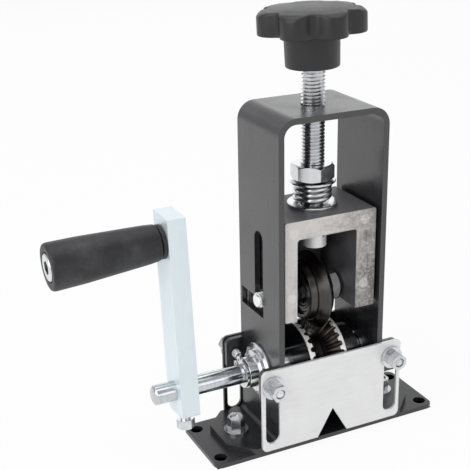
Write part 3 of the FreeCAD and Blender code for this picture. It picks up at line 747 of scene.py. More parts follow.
@dataclass
class Workshop:
    """The loaded frame, the finishes, and a count of what has been built."""

    nodes: dict[str, bpy.types.Object]
    body_names: dict[str, str]
    finishes: dict[Slot, bpy.types.Material]
    built: list[str] = field(default_factory=list)

    def cad_copy(self, node: str, flat_degrees: float = 0.5) -> Shape:
        """A merged copy of a CAD node in millimetres, its flat faces joined.

        Args:
            node: name of the CAD node.
            flat_degrees: faces that differ by less than this are joined.

        Returns:
            The copy.
        """
        shape = bmesh.new()
        shape.from_mesh(self.nodes[node].data)
        bmesh.ops.scale(shape, vec=(1 / MM,) * 3, verts=shape.verts)
        bmesh.ops.remove_doubles(shape, verts=shape.verts, dist=WELD)
        bmesh.ops.dissolve_limit(
            shape,
            angle_limit=math.radians(flat_degrees),
            verts=shape.verts,
            edges=shape.edges,
        )
        return shape

    def round_edges(self, shape: Shape, width: float) -> None:
        """Round the hard edges of a mesh that is all flat or finely curved faces.

        Args:
            shape: the mesh.
            width: how far each rounding reaches.
        """
        hard = math.radians(HARD_EDGE_DEGREES)
        edges = [e for e in shape.edges if e.is_manifold and e.calc_face_angle(0.0) > hard]
        bmesh.ops.bevel(
            shape,
            geom=edges,
            offset=width,
            offset_type="OFFSET",
            segments=2,
            profile=0.5,
            affect="EDGES",
            clamp_overlap=True,
            material=-1,
        )

    def finish(
        self,
        shape: Shape,
        name: str,
        body: str,
        slot: Slot,
        replaces: tuple[str, ...] = (),
        sharp_degrees: float = 32.0,
        material: bpy.types.Material | None = None,
        weighted: bool = False,
    ) -> None:
        """Turn a mesh in millimetres into a piece that rides on a CAD body.

        Args:
            shape: the mesh; it is used up.
            name: the piece's name.
            body: the CAD body it moves with.
            slot: its material slot in the record.
            replaces: CAD nodes it stands for.
            sharp_degrees: edges turned by more than this stay sharp.
            material: a finish other than the slot's own.
            weighted: shade by face area, for large flats beside narrow roundings.
        """
        bmesh.ops.remove_doubles(shape, verts=shape.verts, dist=WELD)
        bmesh.ops.recalc_face_normals(shape, faces=shape.faces)
        bmesh.ops.scale(shape, vec=(MM,) * 3, verts=shape.verts)
        limit = math.radians(sharp_degrees)
        for face in shape.faces:
            face.smooth = True
        for edge in shape.edges:
            edge.smooth = edge.is_manifold and edge.calc_face_angle(0.0) < limit
        mesh = meshed(shape, name)
        mesh.materials.append(material or self.finishes[slot])
        piece = added(name, mesh)
        if weighted:
            shading = piece.modifiers.new("shading", "WEIGHTED_NORMAL")
            shading.keep_sharp = True
        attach(piece, body)
        if replaces:
            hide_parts(*replaces)
        self.built.append(name)
        LOG.info("%s: %d faces on %s", name, len(mesh.polygons), body)

    def stand_in(self, shape: Shape, node: str, ending: str, slot: Slot, **options: object) -> None:
        """Show a shape in place of a CAD node, on that node's body."""
        self.finish(shape, node + ending, self.body_names[node], slot, (node,), **options)

    def rounded_copy(self, node: str, slot: Slot, width: float) -> None:
        """Stand a softened copy in for a CAD node.

        Args:
            node: name of the CAD node.
            slot: its material slot in the record.
            width: how far each rounding reaches.
        """
        shape = self.cad_copy(node)
        self.round_edges(shape, width)
        self.stand_in(shape, node, "_dressed", slot, weighted=True)

    def dress_cad(self, node: str, slot: Slot) -> None:
        """Show a CAD node as it is, in a procedural finish.

        Args:
            node: name of the CAD node.
            slot: its material slot in the record.
        """
        target = self.nodes[node]
        target.data.materials.clear()
        target.data.materials.append(self.finishes[slot])
        LOG.info("%s: CAD shape kept", node)


# Sub-assemblies


@dataclass
class Stand:
    """Base plate, bent frame, foot bolts, studs, nuts and bushings."""

    shop: Workshop
    shaft_z: float = 37.6
    stud_pitch: float = 0.8
    stud_radius: float = 2.5
    stud_length: float = 16.0
    stud_start_y: float = 15.1
    stud_x: float = 34.6
    stud_z: float = 39.5

    def build(self) -> None:
        """Build every piece that stands still."""
        self.shop.rounded_copy("base_plate", Slot.BLACK_PAINT, 0.45)
        self.shop.rounded_copy("frame", Slot.BLACK_PAINT, 0.45)
        self.shop.rounded_copy("foot_bolts", Slot.ZINC, 0.18)
        for side, sign in (("front", -1), ("rear", 1)):
            self.studs(side, sign)
            self.shop.rounded_copy(side + "_guide_nuts", Slot.ZINC, 0.15)
        for side, sign in (("left", -1), ("right", 1)):
            self.bushing(side, sign)

    def studs(self, side: str, sign: int) -> None:
        """Two threaded studs of one guide plate.

        Args:
            side: front or rear.
            sign: -1 in front, and 1 at the rear.
        """
        rods = []
        for x in (-self.stud_x, self.stud_x):
            rod = Thread(self.stud_radius, self.stud_pitch, self.stud_length, lead=0.6, steps=16).build()
            start = Vector((x, sign * self.stud_start_y, self.stud_z))
            rods.append(placed(rod, start, Vector((0, sign, 0))))
        node = side + "_guide_studs"
        self.shop.stand_in(joined(rods), node, "_threaded", Slot.ZINC, sharp_degrees=50.0)

    def bushing(self, side: str, sign: int) -> None:
        """Flanged bushing with softly turned edges.

        Args:
            side: left or right.
            sign: -1 at the left, and 1 at the right.
        """
        profile = [(26.0, 5.05), (26.0, 8.0), (30.0, 8.0), (30.0, 14.0), (31.6, 14.0)]
        profile += [(31.6, 11.0), (33.8, 10.9), (33.8, 8.0), (39.0, 8.0), (39.0, 5.05)]
        flipped = [(sign * x, r) for x, r in profile]
        shape = closed_turned(flipped, Axis.X, (0, 0, self.shaft_z), rounding=0.5, steps=72)
        self.shop.stand_in(shape, "bushing_" + side, "_turned", Slot.ZINC)


@dataclass
class GuidePlates:
    """Front and rear slotted plates."""

    shop: Workshop

    def build(self) -> None:
        """Build both plates."""
        self.shop.rounded_copy("front_guide_plate", Slot.BRIGHT_PLATE, 0.25)
        self.shop.rounded_copy("rear_guide_plate", Slot.BLACK_PAINT, 0.3)


@dataclass
class Slider:
    """Die-cast block with the blade's axle, the washers and the spring."""

    shop: Workshop
    half_depth: float = 19.1
    top: float = 122.0
    blade_z: float = 76.3
    mark_radius: float = 2.6
    mark_height: float = 0.12
    spring_radius: float = 8.75
    spring_wire: float = 1.05
    spring_turns: int = 3
    steps_per_coil: int = 48
    spring_low: float = 124.82
    spring_high: float = 132.72
    washer_low: float = 133.82
    washer_rise: float = 0.5
    axle_thread_start: float = -31.8
    axle_thread_length: float = 9.0
    rib_width: float = 3.0
    rib_depth: float = 2.1
    rib_outer: float = 26.55
    rib_low: float = 59.6
    rib_high: float = 103.4
    rib_overlap: float = 0.5
    mark_places: tuple[tuple[float, float], ...] = (
        (-21.0, 116.0),
        (19.2, 116.9),
        (18.9, 82.9),
        (-22.0, 82.6),
    )
    washer_start_degrees: float = -20.0
    washer_sweep_degrees: float = 352.0
    washer_steps: int = 60
    axle_radius: float = 4.0
    axle_pitch: float = 1.25

    def build(self) -> None:
        """Build the block and what hangs on it."""
        self.block()
        self.ejector_marks()
        self.axle()
        self.shop.rounded_copy("axle_lock_nut", Slot.ZINC, 0.25)
        for node in ("blade_spacer_left", "blade_spacer_right", "screw_retaining_pin"):
            self.shop.dress_cad(node, Slot.POLISHED)
        self.bearing_inner()
        self.washers()
        self.spring()

    def block(self) -> None:
        """The cast block, with a rib behind each end of its rear wall."""
        shapes = [self.shop.cad_copy("slider_block")]
        for sign in (-1, 1):
            rib = bmesh.new()
            bmesh.ops.create_cube(rib, size=1.0)
            size = (self.rib_width, self.rib_depth + self.rib_overlap, self.rib_high - self.rib_low)
            bmesh.ops.scale(rib, vec=size, verts=rib.verts)
            middle = (
                sign * (self.rib_outer - self.rib_width / 2),
                self.half_depth + (self.rib_depth - self.rib_overlap) / 2,
                (self.rib_high + self.rib_low) / 2,
            )
            bmesh.ops.translate(rib, vec=middle, verts=rib.verts)
            shapes.append(rib)
        shape = joined(shapes)
        self.shop.round_edges(shape, 0.5)
        self.shop.stand_in(shape, "slider_block", "_dressed", Slot.CAST, weighted=True)

    def ejector_marks(self) -> None:
        """Four slightly raised discs that the die's pins left on each bare face."""
        shapes = []
        for sign in (-1, 1):
            for x, z in self.mark_places:
                shape = bmesh.new()
                bmesh.ops.create_cone(
                    shape,
                    cap_ends=True,
                    segments=32,
                    radius1=self.mark_radius,
                    radius2=self.mark_radius - self.mark_height,
                    depth=self.mark_height,
                )
                centre = Vector((x, sign * (self.half_depth + self.mark_height / 2 - 0.01), z))
                shapes.append(placed(shape, centre, Vector((0, sign, 0))))
        tones = {"bare": (0.74, 0.71, 0.69), "darker_tone": (0.40, 0.38, 0.36)}
        pale = CastMetal("die_cast_marks", self.half_depth, **tones).material()
        self.shop.finish(joined(shapes), "slider_ejector_marks", "slider", Slot.CAST, material=pale)

    def axle(self) -> None:
        """Axle bolt whose plain shank ends in a thread at the left."""
        shape = self.shop.cad_copy("blade_axle_bolt")
        cut = self.axle_thread_start + self.axle_thread_length
        cut_away(shape, Vector((cut, 0, 0)), Vector((-1, 0, 0)))
        self.shop.round_edges(shape, 0.22)
        rod = Thread(self.axle_radius, self.axle_pitch, self.axle_thread_length + 0.5).build()
        start = Vector((self.axle_thread_start, 0, self.blade_z))
        whole = joined([shape, placed(rod, start, Vector((1, 0, 0)))])
        # Painted highlight: a near-white copy of the zinc with a diffuse share makes the bolt read as
        # brightly lit.
        colour = (0.97, 0.97, 0.97)
        satin_with_highlight = Metal("satin_zinc_painted_highlight", colour, roughness=0.22, streak_depth=0.08, diffuse=0.30).material()
        self.shop.stand_in(whole, "blade_axle_bolt", "_threaded", Slot.ZINC, material=satin_with_highlight, weighted=True)

    def bearing_inner(self) -> None:
        """Inner ring of the blade's bearing."""
        profile = [(-3.5, 4.03), (-3.5, 5.9), (-1.4, 5.9), (0.0, 5.45), (1.4, 5.9), (3.5, 5.9), (3.5, 4.03)]
        low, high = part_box("bearing_inner_ring")
        outer = (high.z - low.z) / 2 / MM
        fitted = [(x, min(r, outer)) for x, r in profile]
        shape = closed_turned(fitted, Axis.X, (0, 0, self.blade_z), rounding=0.3, steps=48)
        self.shop.stand_in(shape, "bearing_inner_ring", "_turned", Slot.POLISHED)

    def washers(self) -> None:
        """Broad lower washer, and a split washer under the lock nut."""
        profile = [(0.02, 6.0), (0.02, 12.5), (1.72, 12.5), (1.72, 6.0)]
        lower = closed_turned(profile, Axis.Z, (0, 0, self.top), rounding=0.35, steps=64)
        self.shop.stand_in(lower, "lower_washer", "_turned", Slot.ZINC)
        upper = bmesh.new()
        section = [(6.1, 0.0), (11.4, 0.0), (11.6, 0.2), (11.6, 0.85), (11.4, 1.05), (6.1, 1.05)]
        upper.faces.new([upper.verts.new((r, 0, self.washer_low + z)) for r, z in section])
        start = Matrix.Rotation(math.radians(self.washer_start_degrees), 3, "Z")
        bmesh.ops.rotate(upper, verts=upper.verts, matrix=start)
        sweep = math.radians(self.washer_sweep_degrees)
        coiled(upper, sweep, self.washer_rise / self.washer_steps, self.washer_steps)
        self.shop.stand_in(upper, "upper_washer", "_split", Slot.ZINC)

    def spring(self) -> None:
        """Round-wire compression spring, one unbroken coil with closed ends."""
        shape = bmesh.new()
        wire = {"cap_ends": False, "segments": 14, "radius": self.spring_wire}
        made = bmesh.ops.create_circle(shape, **wire)["verts"]
        start = Matrix.Translation((self.spring_radius, 0, self.spring_low))
        bmesh.ops.transform(shape, matrix=start @ Matrix.Rotation(math.pi / 2, 4, "X"), verts=made)
        steps = self.steps_per_coil * self.spring_turns
        rise = (self.spring_high - self.spring_low) / steps
        coiled(shape, FULL_TURN * self.spring_turns, rise, steps)
        fill_openings(shape)
        self.shop.stand_in(shape, "pressure_spring", "_coil", Slot.SPRING)


@dataclass
class BladeWheel:
    """Cutting wheel with the outer half of its bearing."""

    shop: Workshop
    blade_z: float = 76.3
    ball_orbit: float = 7.5
    ball_radius: float = 1.95
    ball_count: int = 7
    hub_reach: float = 8.0

    def build(self) -> None:
        """Build the wheel, its hub, the outer ring and the balls."""
        side = [(3.5, 11.01), (3.5, 12.0), (4.2, 12.6), (4.2, 15.6), (0.12, 20.1)]
        profile = [(-x, r) for x, r in side] + [(x, r) for x, r in reversed(side)]
        shape = turned([*profile, profile[0]], Axis.X, (0, 0, self.blade_z), 144)
        self.shop.stand_in(shape, "blade_wheel", "_ground", Slot.DARK, sharp_degrees=22.0)
        self.hub()
        ring = [(-3.5, 11.0), (-3.5, 9.1), (-1.4, 9.1), (0.0, 9.52), (1.4, 9.1), (3.5, 9.1), (3.5, 11.0)]
        outer = closed_turned(ring, Axis.X, (0, 0, self.blade_z), rounding=0.3, steps=64)
        self.shop.stand_in(outer, "bearing_outer_ring", "_turned", Slot.POLISHED)
        balls = []
        for i in range(self.ball_count):
            angle = FULL_TURN * i / self.ball_count
            ball = bmesh.new()
            bmesh.ops.create_uvsphere(ball, u_segments=18, v_segments=12, radius=self.ball_radius)
            across, up = self.ball_orbit * math.cos(angle), self.ball_orbit * math.sin(angle)
            bmesh.ops.translate(ball, vec=(0, across, self.blade_z + up), verts=ball.verts)
            balls.append(ball)
        self.shop.stand_in(joined(balls), "bearing_balls", "_round", Slot.POLISHED)

    def hub(self) -> None:
        """Raised hub on the wheel's left, with the bearing's shield sunk in it."""
        raised = [(-4.0, 11.6), (-4.0, 14.9), (-self.hub_reach, 14.3), (-self.hub_reach, 11.6)]
        collar = closed_turned(raised, Axis.X, (0, 0, self.blade_z), rounding=0.5, steps=96)
        self.shop.finish(collar, "blade_wheel_hub", "blade", Slot.DARK)
        outline = [(-4.0, 11.7), (-6.6, 11.7), (-6.6, 10.9), (-6.2, 10.5), (-6.2, 9.3), (-6.5, 9.0)]
        outline += [(-6.5, 8.0), (-6.1, 7.7), (-6.1, 6.9), (-6.4, 6.6), (-6.4, 6.2), (-4.0, 6.2)]
        shield = closed_turned(outline, Axis.X, (0, 0, self.blade_z), rounding=0.15, steps=72)
        colour = (0.03, 0.028, 0.027)
        black = Coating("bearing_shield", colour, roughness=0.26, peel_mm=0.01, scuffs=False).material()
        self.shop.finish(shield, "bearing_shield", "blade", Slot.DARK, material=black)


@dataclass
class StarKnob:
    """Seven-lobed moulded knob head on a tapered hub."""

    lobes: int = 7
    lobe_orbit: float = 18.6
    lobe_radius: float = 7.6
    valley_radius: float = 3.4
    core_radius: float = 21.0
    turn_degrees: float = 12.9
    hub_bottom: float = 191.0
    bottom: float = 207.0
    shoulder: float = 216.2
    top: float = 219.3
    hub_radius: float = 13.4
    bore_radius: float = 8.01
    bore_top: float = 210.0
    tilt_degrees: float = 2.0
    tilt_azimuth_degrees: float = 240.0
    shift: float = 0.3
    steps_per_lobe: int = 24
    rim_rounding: float = 1.2
    rim_steps: int = 6
    inmost: float = 18.0
    centre_share: float = 0.82
    gate_orbit: float = 26.0
    gate_turn: float = -0.19
    gate_z: float = 210.8

    @property
    def reach(self) -> float:
        """Farthest that a lobe stands from the knob's axis."""
        return self.lobe_orbit + self.lobe_radius

    def outline(self, angle: float) -> float:
        """Radius of the lobed outline.

        Args:
            angle: direction from the knob's axis, in radians.

        Returns:
            The radius in that direction.
        """
        step = FULL_TURN / self.lobes
        from_lobe = abs((angle - math.radians(self.turn_degrees) + step / 2) % step - step / 2)
        orbit, lobe, valley = self.lobe_orbit, self.lobe_radius, self.valley_radius
        far = self.core_radius + valley
        near = lobe + valley
        fillet = math.acos((far ** 2 + orbit ** 2 - near ** 2) / (2 * far * orbit))
        centre = Vector((far * math.cos(fillet), far * math.sin(fillet)))
        touch = Vector((orbit, 0)) + (centre - Vector((orbit, 0))) * (lobe / near)
        if from_lobe < math.atan2(touch.y, touch.x):
            return orbit * math.cos(from_lobe) + math.sqrt(lobe ** 2 - (orbit * math.sin(from_lobe)) ** 2)
        if from_lobe < fillet:
            across = far * math.sin(fillet - from_lobe)
            return far * math.cos(fillet - from_lobe) - math.sqrt(valley ** 2 - across ** 2)
        return self.core_radius

    def dome(self, radius: float) -> float:
        """Height of the head's domed top.

        Args:
            radius: distance from the knob's axis.

        Returns:
            The height at that distance.
        """
        outer = self.reach
        stations = [
            (0.0, self.top),
            (outer - 11.0, self.top - 0.4),
            (outer - 6.5, self.top - 0.9),
            (outer - 3.0, self.shoulder + 1.9),
            (outer, self.shoulder + 0.4),
        ]
        for (r0, z0), (r1, z1) in zip(stations, stations[1:]):
            if radius <= r1:
                return z0 + (z1 - z0) * (radius - r0) / (r1 - r0)
        return stations[-1][1]

    def rings(self) -> list[tuple[float, float, bool]]:
        """Rings from the underside to the top.

        Returns:
            For each ring its inset, its height, and whether that height is over the dome.
        """
        rings = [(6.0, self.bottom, False), (0.9, self.bottom, False)]
        rings += [(0.25, self.bottom + 0.25, False), (0.0, self.bottom + 0.9, False)]
        rings.append((0.0, self.bottom + 6.0, False))
        for i in range(self.rim_steps + 1):
            a = math.pi / 2 * i / self.rim_steps
            inset, height = self.rim_rounding * (1 - math.cos(a)), self.rim_rounding * (math.sin(a) - 1)
            rings.append((inset, height, True))
        for inset in (3.0, 4.5, 6.5, 9.0, 12.0, 15.5, self.inmost):
            rings.append((inset, 0.0, True))
        return rings

    def head(self) -> Shape:
        """The lobed head, ring by ring from a circle, closed at both ends.

        Returns:
            A closed mesh.
        """
        shape = bmesh.new()
        count = self.lobes * self.steps_per_lobe
        made = bmesh.ops.create_circle(shape, cap_ends=False, segments=count, radius=1.0)["verts"]
        angles = [math.atan2(v.co.y, v.co.x) for v in made]
        edges = list(shape.edges)
        order = {v: i for i, v in enumerate(made)}
        for level, (inset, height, domed) in enumerate(self.rings()):
            if level:
                grown = bmesh.ops.extrude_edge_only(shape, edges=edges)["geom"]
                fresh = [g for g in grown if isinstance(g, bmesh.types.BMVert)]
                spokes = {tuple(v.co): index for v, index in order.items()}
                order = {v: spokes[tuple(v.co)] for v in fresh}
                edges = [g for g in grown if isinstance(g, bmesh.types.BMEdge)]
                edges = [e for e in edges if all(v in order for v in e.verts)]
            for vertex, index in order.items():
                angle = angles[index]
                blend = min(1.0, inset / self.inmost) ** 1.5
                round_part = (self.reach - inset) * self.centre_share
                radius = (self.outline(angle) - inset) * (1 - blend) + round_part * blend
                z = self.dome(radius) + height if domed else height
                vertex.co = Vector((radius * math.cos(angle), radius * math.sin(angle), z))
        fill_openings(shape)
        return shape

    def hub(self) -> Shape:
        """Tapered hub with the bore that takes the steel insert.

        Returns:
            A closed mesh.
        """
        outline = [
            (self.bore_top, 0.0),
            (self.bore_top, self.bore_radius),
            (self.hub_bottom, self.bore_radius),
            (self.hub_bottom, self.hub_radius - 0.3),
            (self.bottom - 1.2, self.hub_radius),
            (self.bottom - 0.2, self.hub_radius + 0.9),
            (self.bottom + 0.5, self.hub_radius + 1.6),
            (self.bottom + 4.5, self.hub_radius + 1.6),
            (self.bottom + 4.5, 0.0),
        ]
        return turned(softened(outline, 0.8), Axis.Z, (0, 0, 0), 72)

    def gate_mark(self) -> Shape:
        """Small nub left by the mould's gate on the lobe at the right.

        Returns:
            A closed mesh.
        """
        shape = bmesh.new()
        bmesh.ops.create_uvsphere(shape, u_segments=14, v_segments=10, radius=1.0)
        bmesh.ops.scale(shape, vec=(0.9, 1.3, 1.1), verts=shape.verts)
        side = Vector((math.cos(self.gate_turn), math.sin(self.gate_turn), 0)) * self.gate_orbit
        bmesh.ops.translate(shape, vec=side + Vector((0, 0, self.gate_z)), verts=shape.verts)
        return shape

    def build(self) -> Shape:
        """Head, hub and nub, tipped as the knob sits on its screw.

        Returns:
            The whole knob as one mesh.
        """
        shape = joined([self.head(), self.hub(), self.gate_mark()])
        turn = math.radians(self.tilt_azimuth_degrees)
        away = Vector((math.cos(turn), math.sin(turn), 0))
        tip = Matrix.Rotation(math.radians(self.tilt_degrees), 3, away)
        bmesh.ops.rotate(shape, cent=(0, 0, self.hub_bottom), matrix=tip, verts=shape.verts)
        bmesh.ops.translate(shape, vec=Vector((away.y, -away.x, 0)) * self.shift, verts=shape.verts)
        return shape


@dataclass
class AdjustingScrew:
    """Threaded screw with its lock nut, insert and star knob."""

    shop: Workshop
    radius: float = 5.9
    pitch: float = 1.75
    low: float = 114.0
    high: float = 209.8
    neck_radius: float = 3.2
    neck_low: float = 103.5
    groove_low: float = 106.0
    groove_high: float = 109.0
    groove_radius: float = 1.7

    def build(self) -> None:
        """Build what turns with the knob."""
        rod = Thread(self.radius, self.pitch, self.high - self.low, lead=1.4, steps=32).build()
        bmesh.ops.translate(rod, vec=(0, 0, self.low), verts=rod.verts)
        neck_profile = [
            (self.neck_low, 0.0),
            (self.neck_low, self.neck_radius),
            (self.groove_low, self.neck_radius),
            (self.groove_low, self.groove_radius),
            (self.groove_high, self.groove_radius),
            (self.groove_high, self.neck_radius),
            (self.low + 0.6, self.neck_radius),
            (self.low + 0.6, 0.0),
        ]
        neck = turned(softened(neck_profile, 0.3), Axis.Z, (0, 0, 0), 32)
        screw = joined([rod, neck])
        self.shop.stand_in(screw, "adjusting_screw", "_threaded", Slot.ZINC, sharp_degrees=50.0)
        self.shop.rounded_copy("lock_nut", Slot.ZINC, 0.35)
        self.shop.dress_cad("knob_insert", Slot.POLISHED)
        self.shop.stand_in(StarKnob().build(), "star_knob", "_moulded", Slot.PLASTIC)


@dataclass
class CrankDrive:
    """Crank shaft with its rings, the serrated roller, and the arm."""

    shop: Workshop
    shaft_z: float = 37.6
    shaft_radius: float = 5.0
    left: float = -88.7
    right: float = 42.2
    ring_left: float = -40.5
    ring_right: float = 39.3
    ring_width: float = 1.2
    roller_radius: float = 21.0
    roller_half_width: float = 10.6
    hub_radius: float = 13.8
    hub_inner: float = 9.05
    hub_end: float = 21.8

    def build(self) -> None:
        """Build what turns with the shaft."""
        self.shaft()
        for side in ("left", "right"):
            self.shop.rounded_copy("shaft_ring_" + side, Slot.SPRING, 0.15)
            self.roller_half(side)
            self.shop.dress_cad("roller_spacer_" + side, Slot.POLISHED)
        self.roller_hub()
        self.shop.dress_cad("roller_set_screw", Slot.DARK)
        self.shop.rounded_copy("crank_arm", Slot.PALE_ZINC, 0.5)
        self.shop.rounded_copy("arm_set_screw", Slot.ZINC, 0.2)
        self.shop.rounded_copy("grip_bolt", Slot.ZINC, 0.25)
        self.shop.dress_cad("grip_collar", Slot.PLASTIC)

    def shaft(self) -> None:
        """Turned shaft with two ring grooves and rounded ends."""
        r = self.shaft_radius
        groove = r - 0.35
        outline = [(self.left, 0.0), (self.left, r - 1.1), (self.left + 0.9, r)]
        for start in (self.ring_left - 0.1, self.ring_right - 0.1):
            end = start + self.ring_width + 0.2
            outline += [(start, r), (start, groove), (end, groove), (end, r)]
        outline += [(self.right - 0.9, r), (self.right, r - 1.1), (self.right, 0.0)]
        shape = turned(softened(outline, 0.35), Axis.X, (0, 0, self.shaft_z), 64)
        self.shop.stand_in(shape, "crank_shaft", "_turned", Slot.POLISHED)

    def roller_half(self, side: str) -> None:
        """One serrated half of the roller.

        Args:
            side: left or right.
        """
        node = "feed_roller_" + side
        shape = self.shop.cad_copy(node, 1.0)
        steel = bpy.data.materials.get("roller_steel") or self.roller_steel()
        look = {"sharp_degrees": 28.0, "material": steel, "weighted": True}
        self.shop.stand_in(shape, node, "_ground", Slot.DARK, **look)

    def roller_steel(self) -> bpy.types.Material:
        """The roller's own finish, shared by both halves."""
        sizes = (self.roller_radius, self.shaft_z, self.roller_half_width)
        return RollerSteel("roller_steel", *sizes).material()

    def roller_hub(self) -> None:
        """Broad black hub on the right half of the roller."""
        start = self.roller_half_width - 0.1
        outline = [
            (start, self.hub_inner),
            (start, self.hub_radius),
            (start + 1.0, self.hub_radius),
            (self.hub_end, self.hub_radius),
            (self.hub_end, self.hub_inner),
        ]
        shape = closed_turned(outline, Axis.X, (0, 0, self.shaft_z), rounding=0.8, steps=96)
        colour = (0.012, 0.012, 0.013)
        black = Coating("black_oxide", colour, roughness=0.17, peel_mm=0.01, scuffs=False).material()
        self.shop.finish(shape, "roller_hub", "crank", Slot.DARK, material=black)


@dataclass
class Handle:
    """Tapered grip that turns on its bolt."""

    shop: Workshop
    arm_left: float = -77.4
    grip_z: float = 114.4
    shaft_z: float = 37.6
    lean_degrees: float = 5.5
    droop_degrees: float = 2.5
    inner_end: float = -79.9
    outer_end: float = -133.2
    inner_radius: float = 9.2
    outer_radius: float = 11.4
    bore: float = 4.06
    pocket: float = 7.0
    pocket_depth: float = 8.3

    def build(self) -> None:
        """Build the grip and tip it onto its bolt."""
        pocket_end = self.outer_end + self.pocket_depth
        outline = [
            (self.inner_end, self.bore),
            (pocket_end, self.bore),
            (pocket_end, self.pocket),
            (self.outer_end, self.pocket),
            (self.outer_end, self.outer_radius - 0.6),
            (self.outer_end + 1.4, self.outer_radius),
            (self.outer_end + 16.0, self.outer_radius - 0.30),
            (self.inner_end - 6.0, self.inner_radius + 0.25),
            (self.inner_end, self.inner_radius - 0.35),
        ]
        shape = closed_turned(outline, Axis.X, (0, 0, self.grip_z), rounding=1.2, steps=72)
        droop = Matrix.Rotation(math.radians(-self.droop_degrees), 3, "Y")
        bmesh.ops.rotate(shape, cent=(self.arm_left, 0, self.grip_z), matrix=droop, verts=shape.verts)
        lean = Matrix.Rotation(math.radians(-self.lean_degrees), 3, "X")
        bmesh.ops.rotate(shape, cent=(0, 0, self.shaft_z), matrix=lean, verts=shape.verts)
        self.shop.stand_in(shape, "grip", "_moulded", Slot.RUBBER)


# Studio


@dataclass(frozen=True)
class SoftBox:
    """One soft light aimed at the object: its place, size and power."""

    name: str
    place: Triple
    size: tuple[float, float]
    watts: float
    aim: Triple = (0.0, 0.0, 0.1)

    def build(self) -> bpy.types.Object:
        """Add the area light.

        Returns:
            The light's object.
        """
        light = bpy.data.lights.new(self.name, "AREA")
        light.shape = "RECTANGLE"
        light.size, light.size_y = self.size
        light.energy = self.watts
        holder = added(self.name, light)
        holder.location = self.place
        direction = Vector(self.aim) - Vector(self.place)
        holder.rotation_mode = "QUATERNION"
        holder.rotation_quaternion = direction.to_track_quat("-Z", "Y")
        return holder


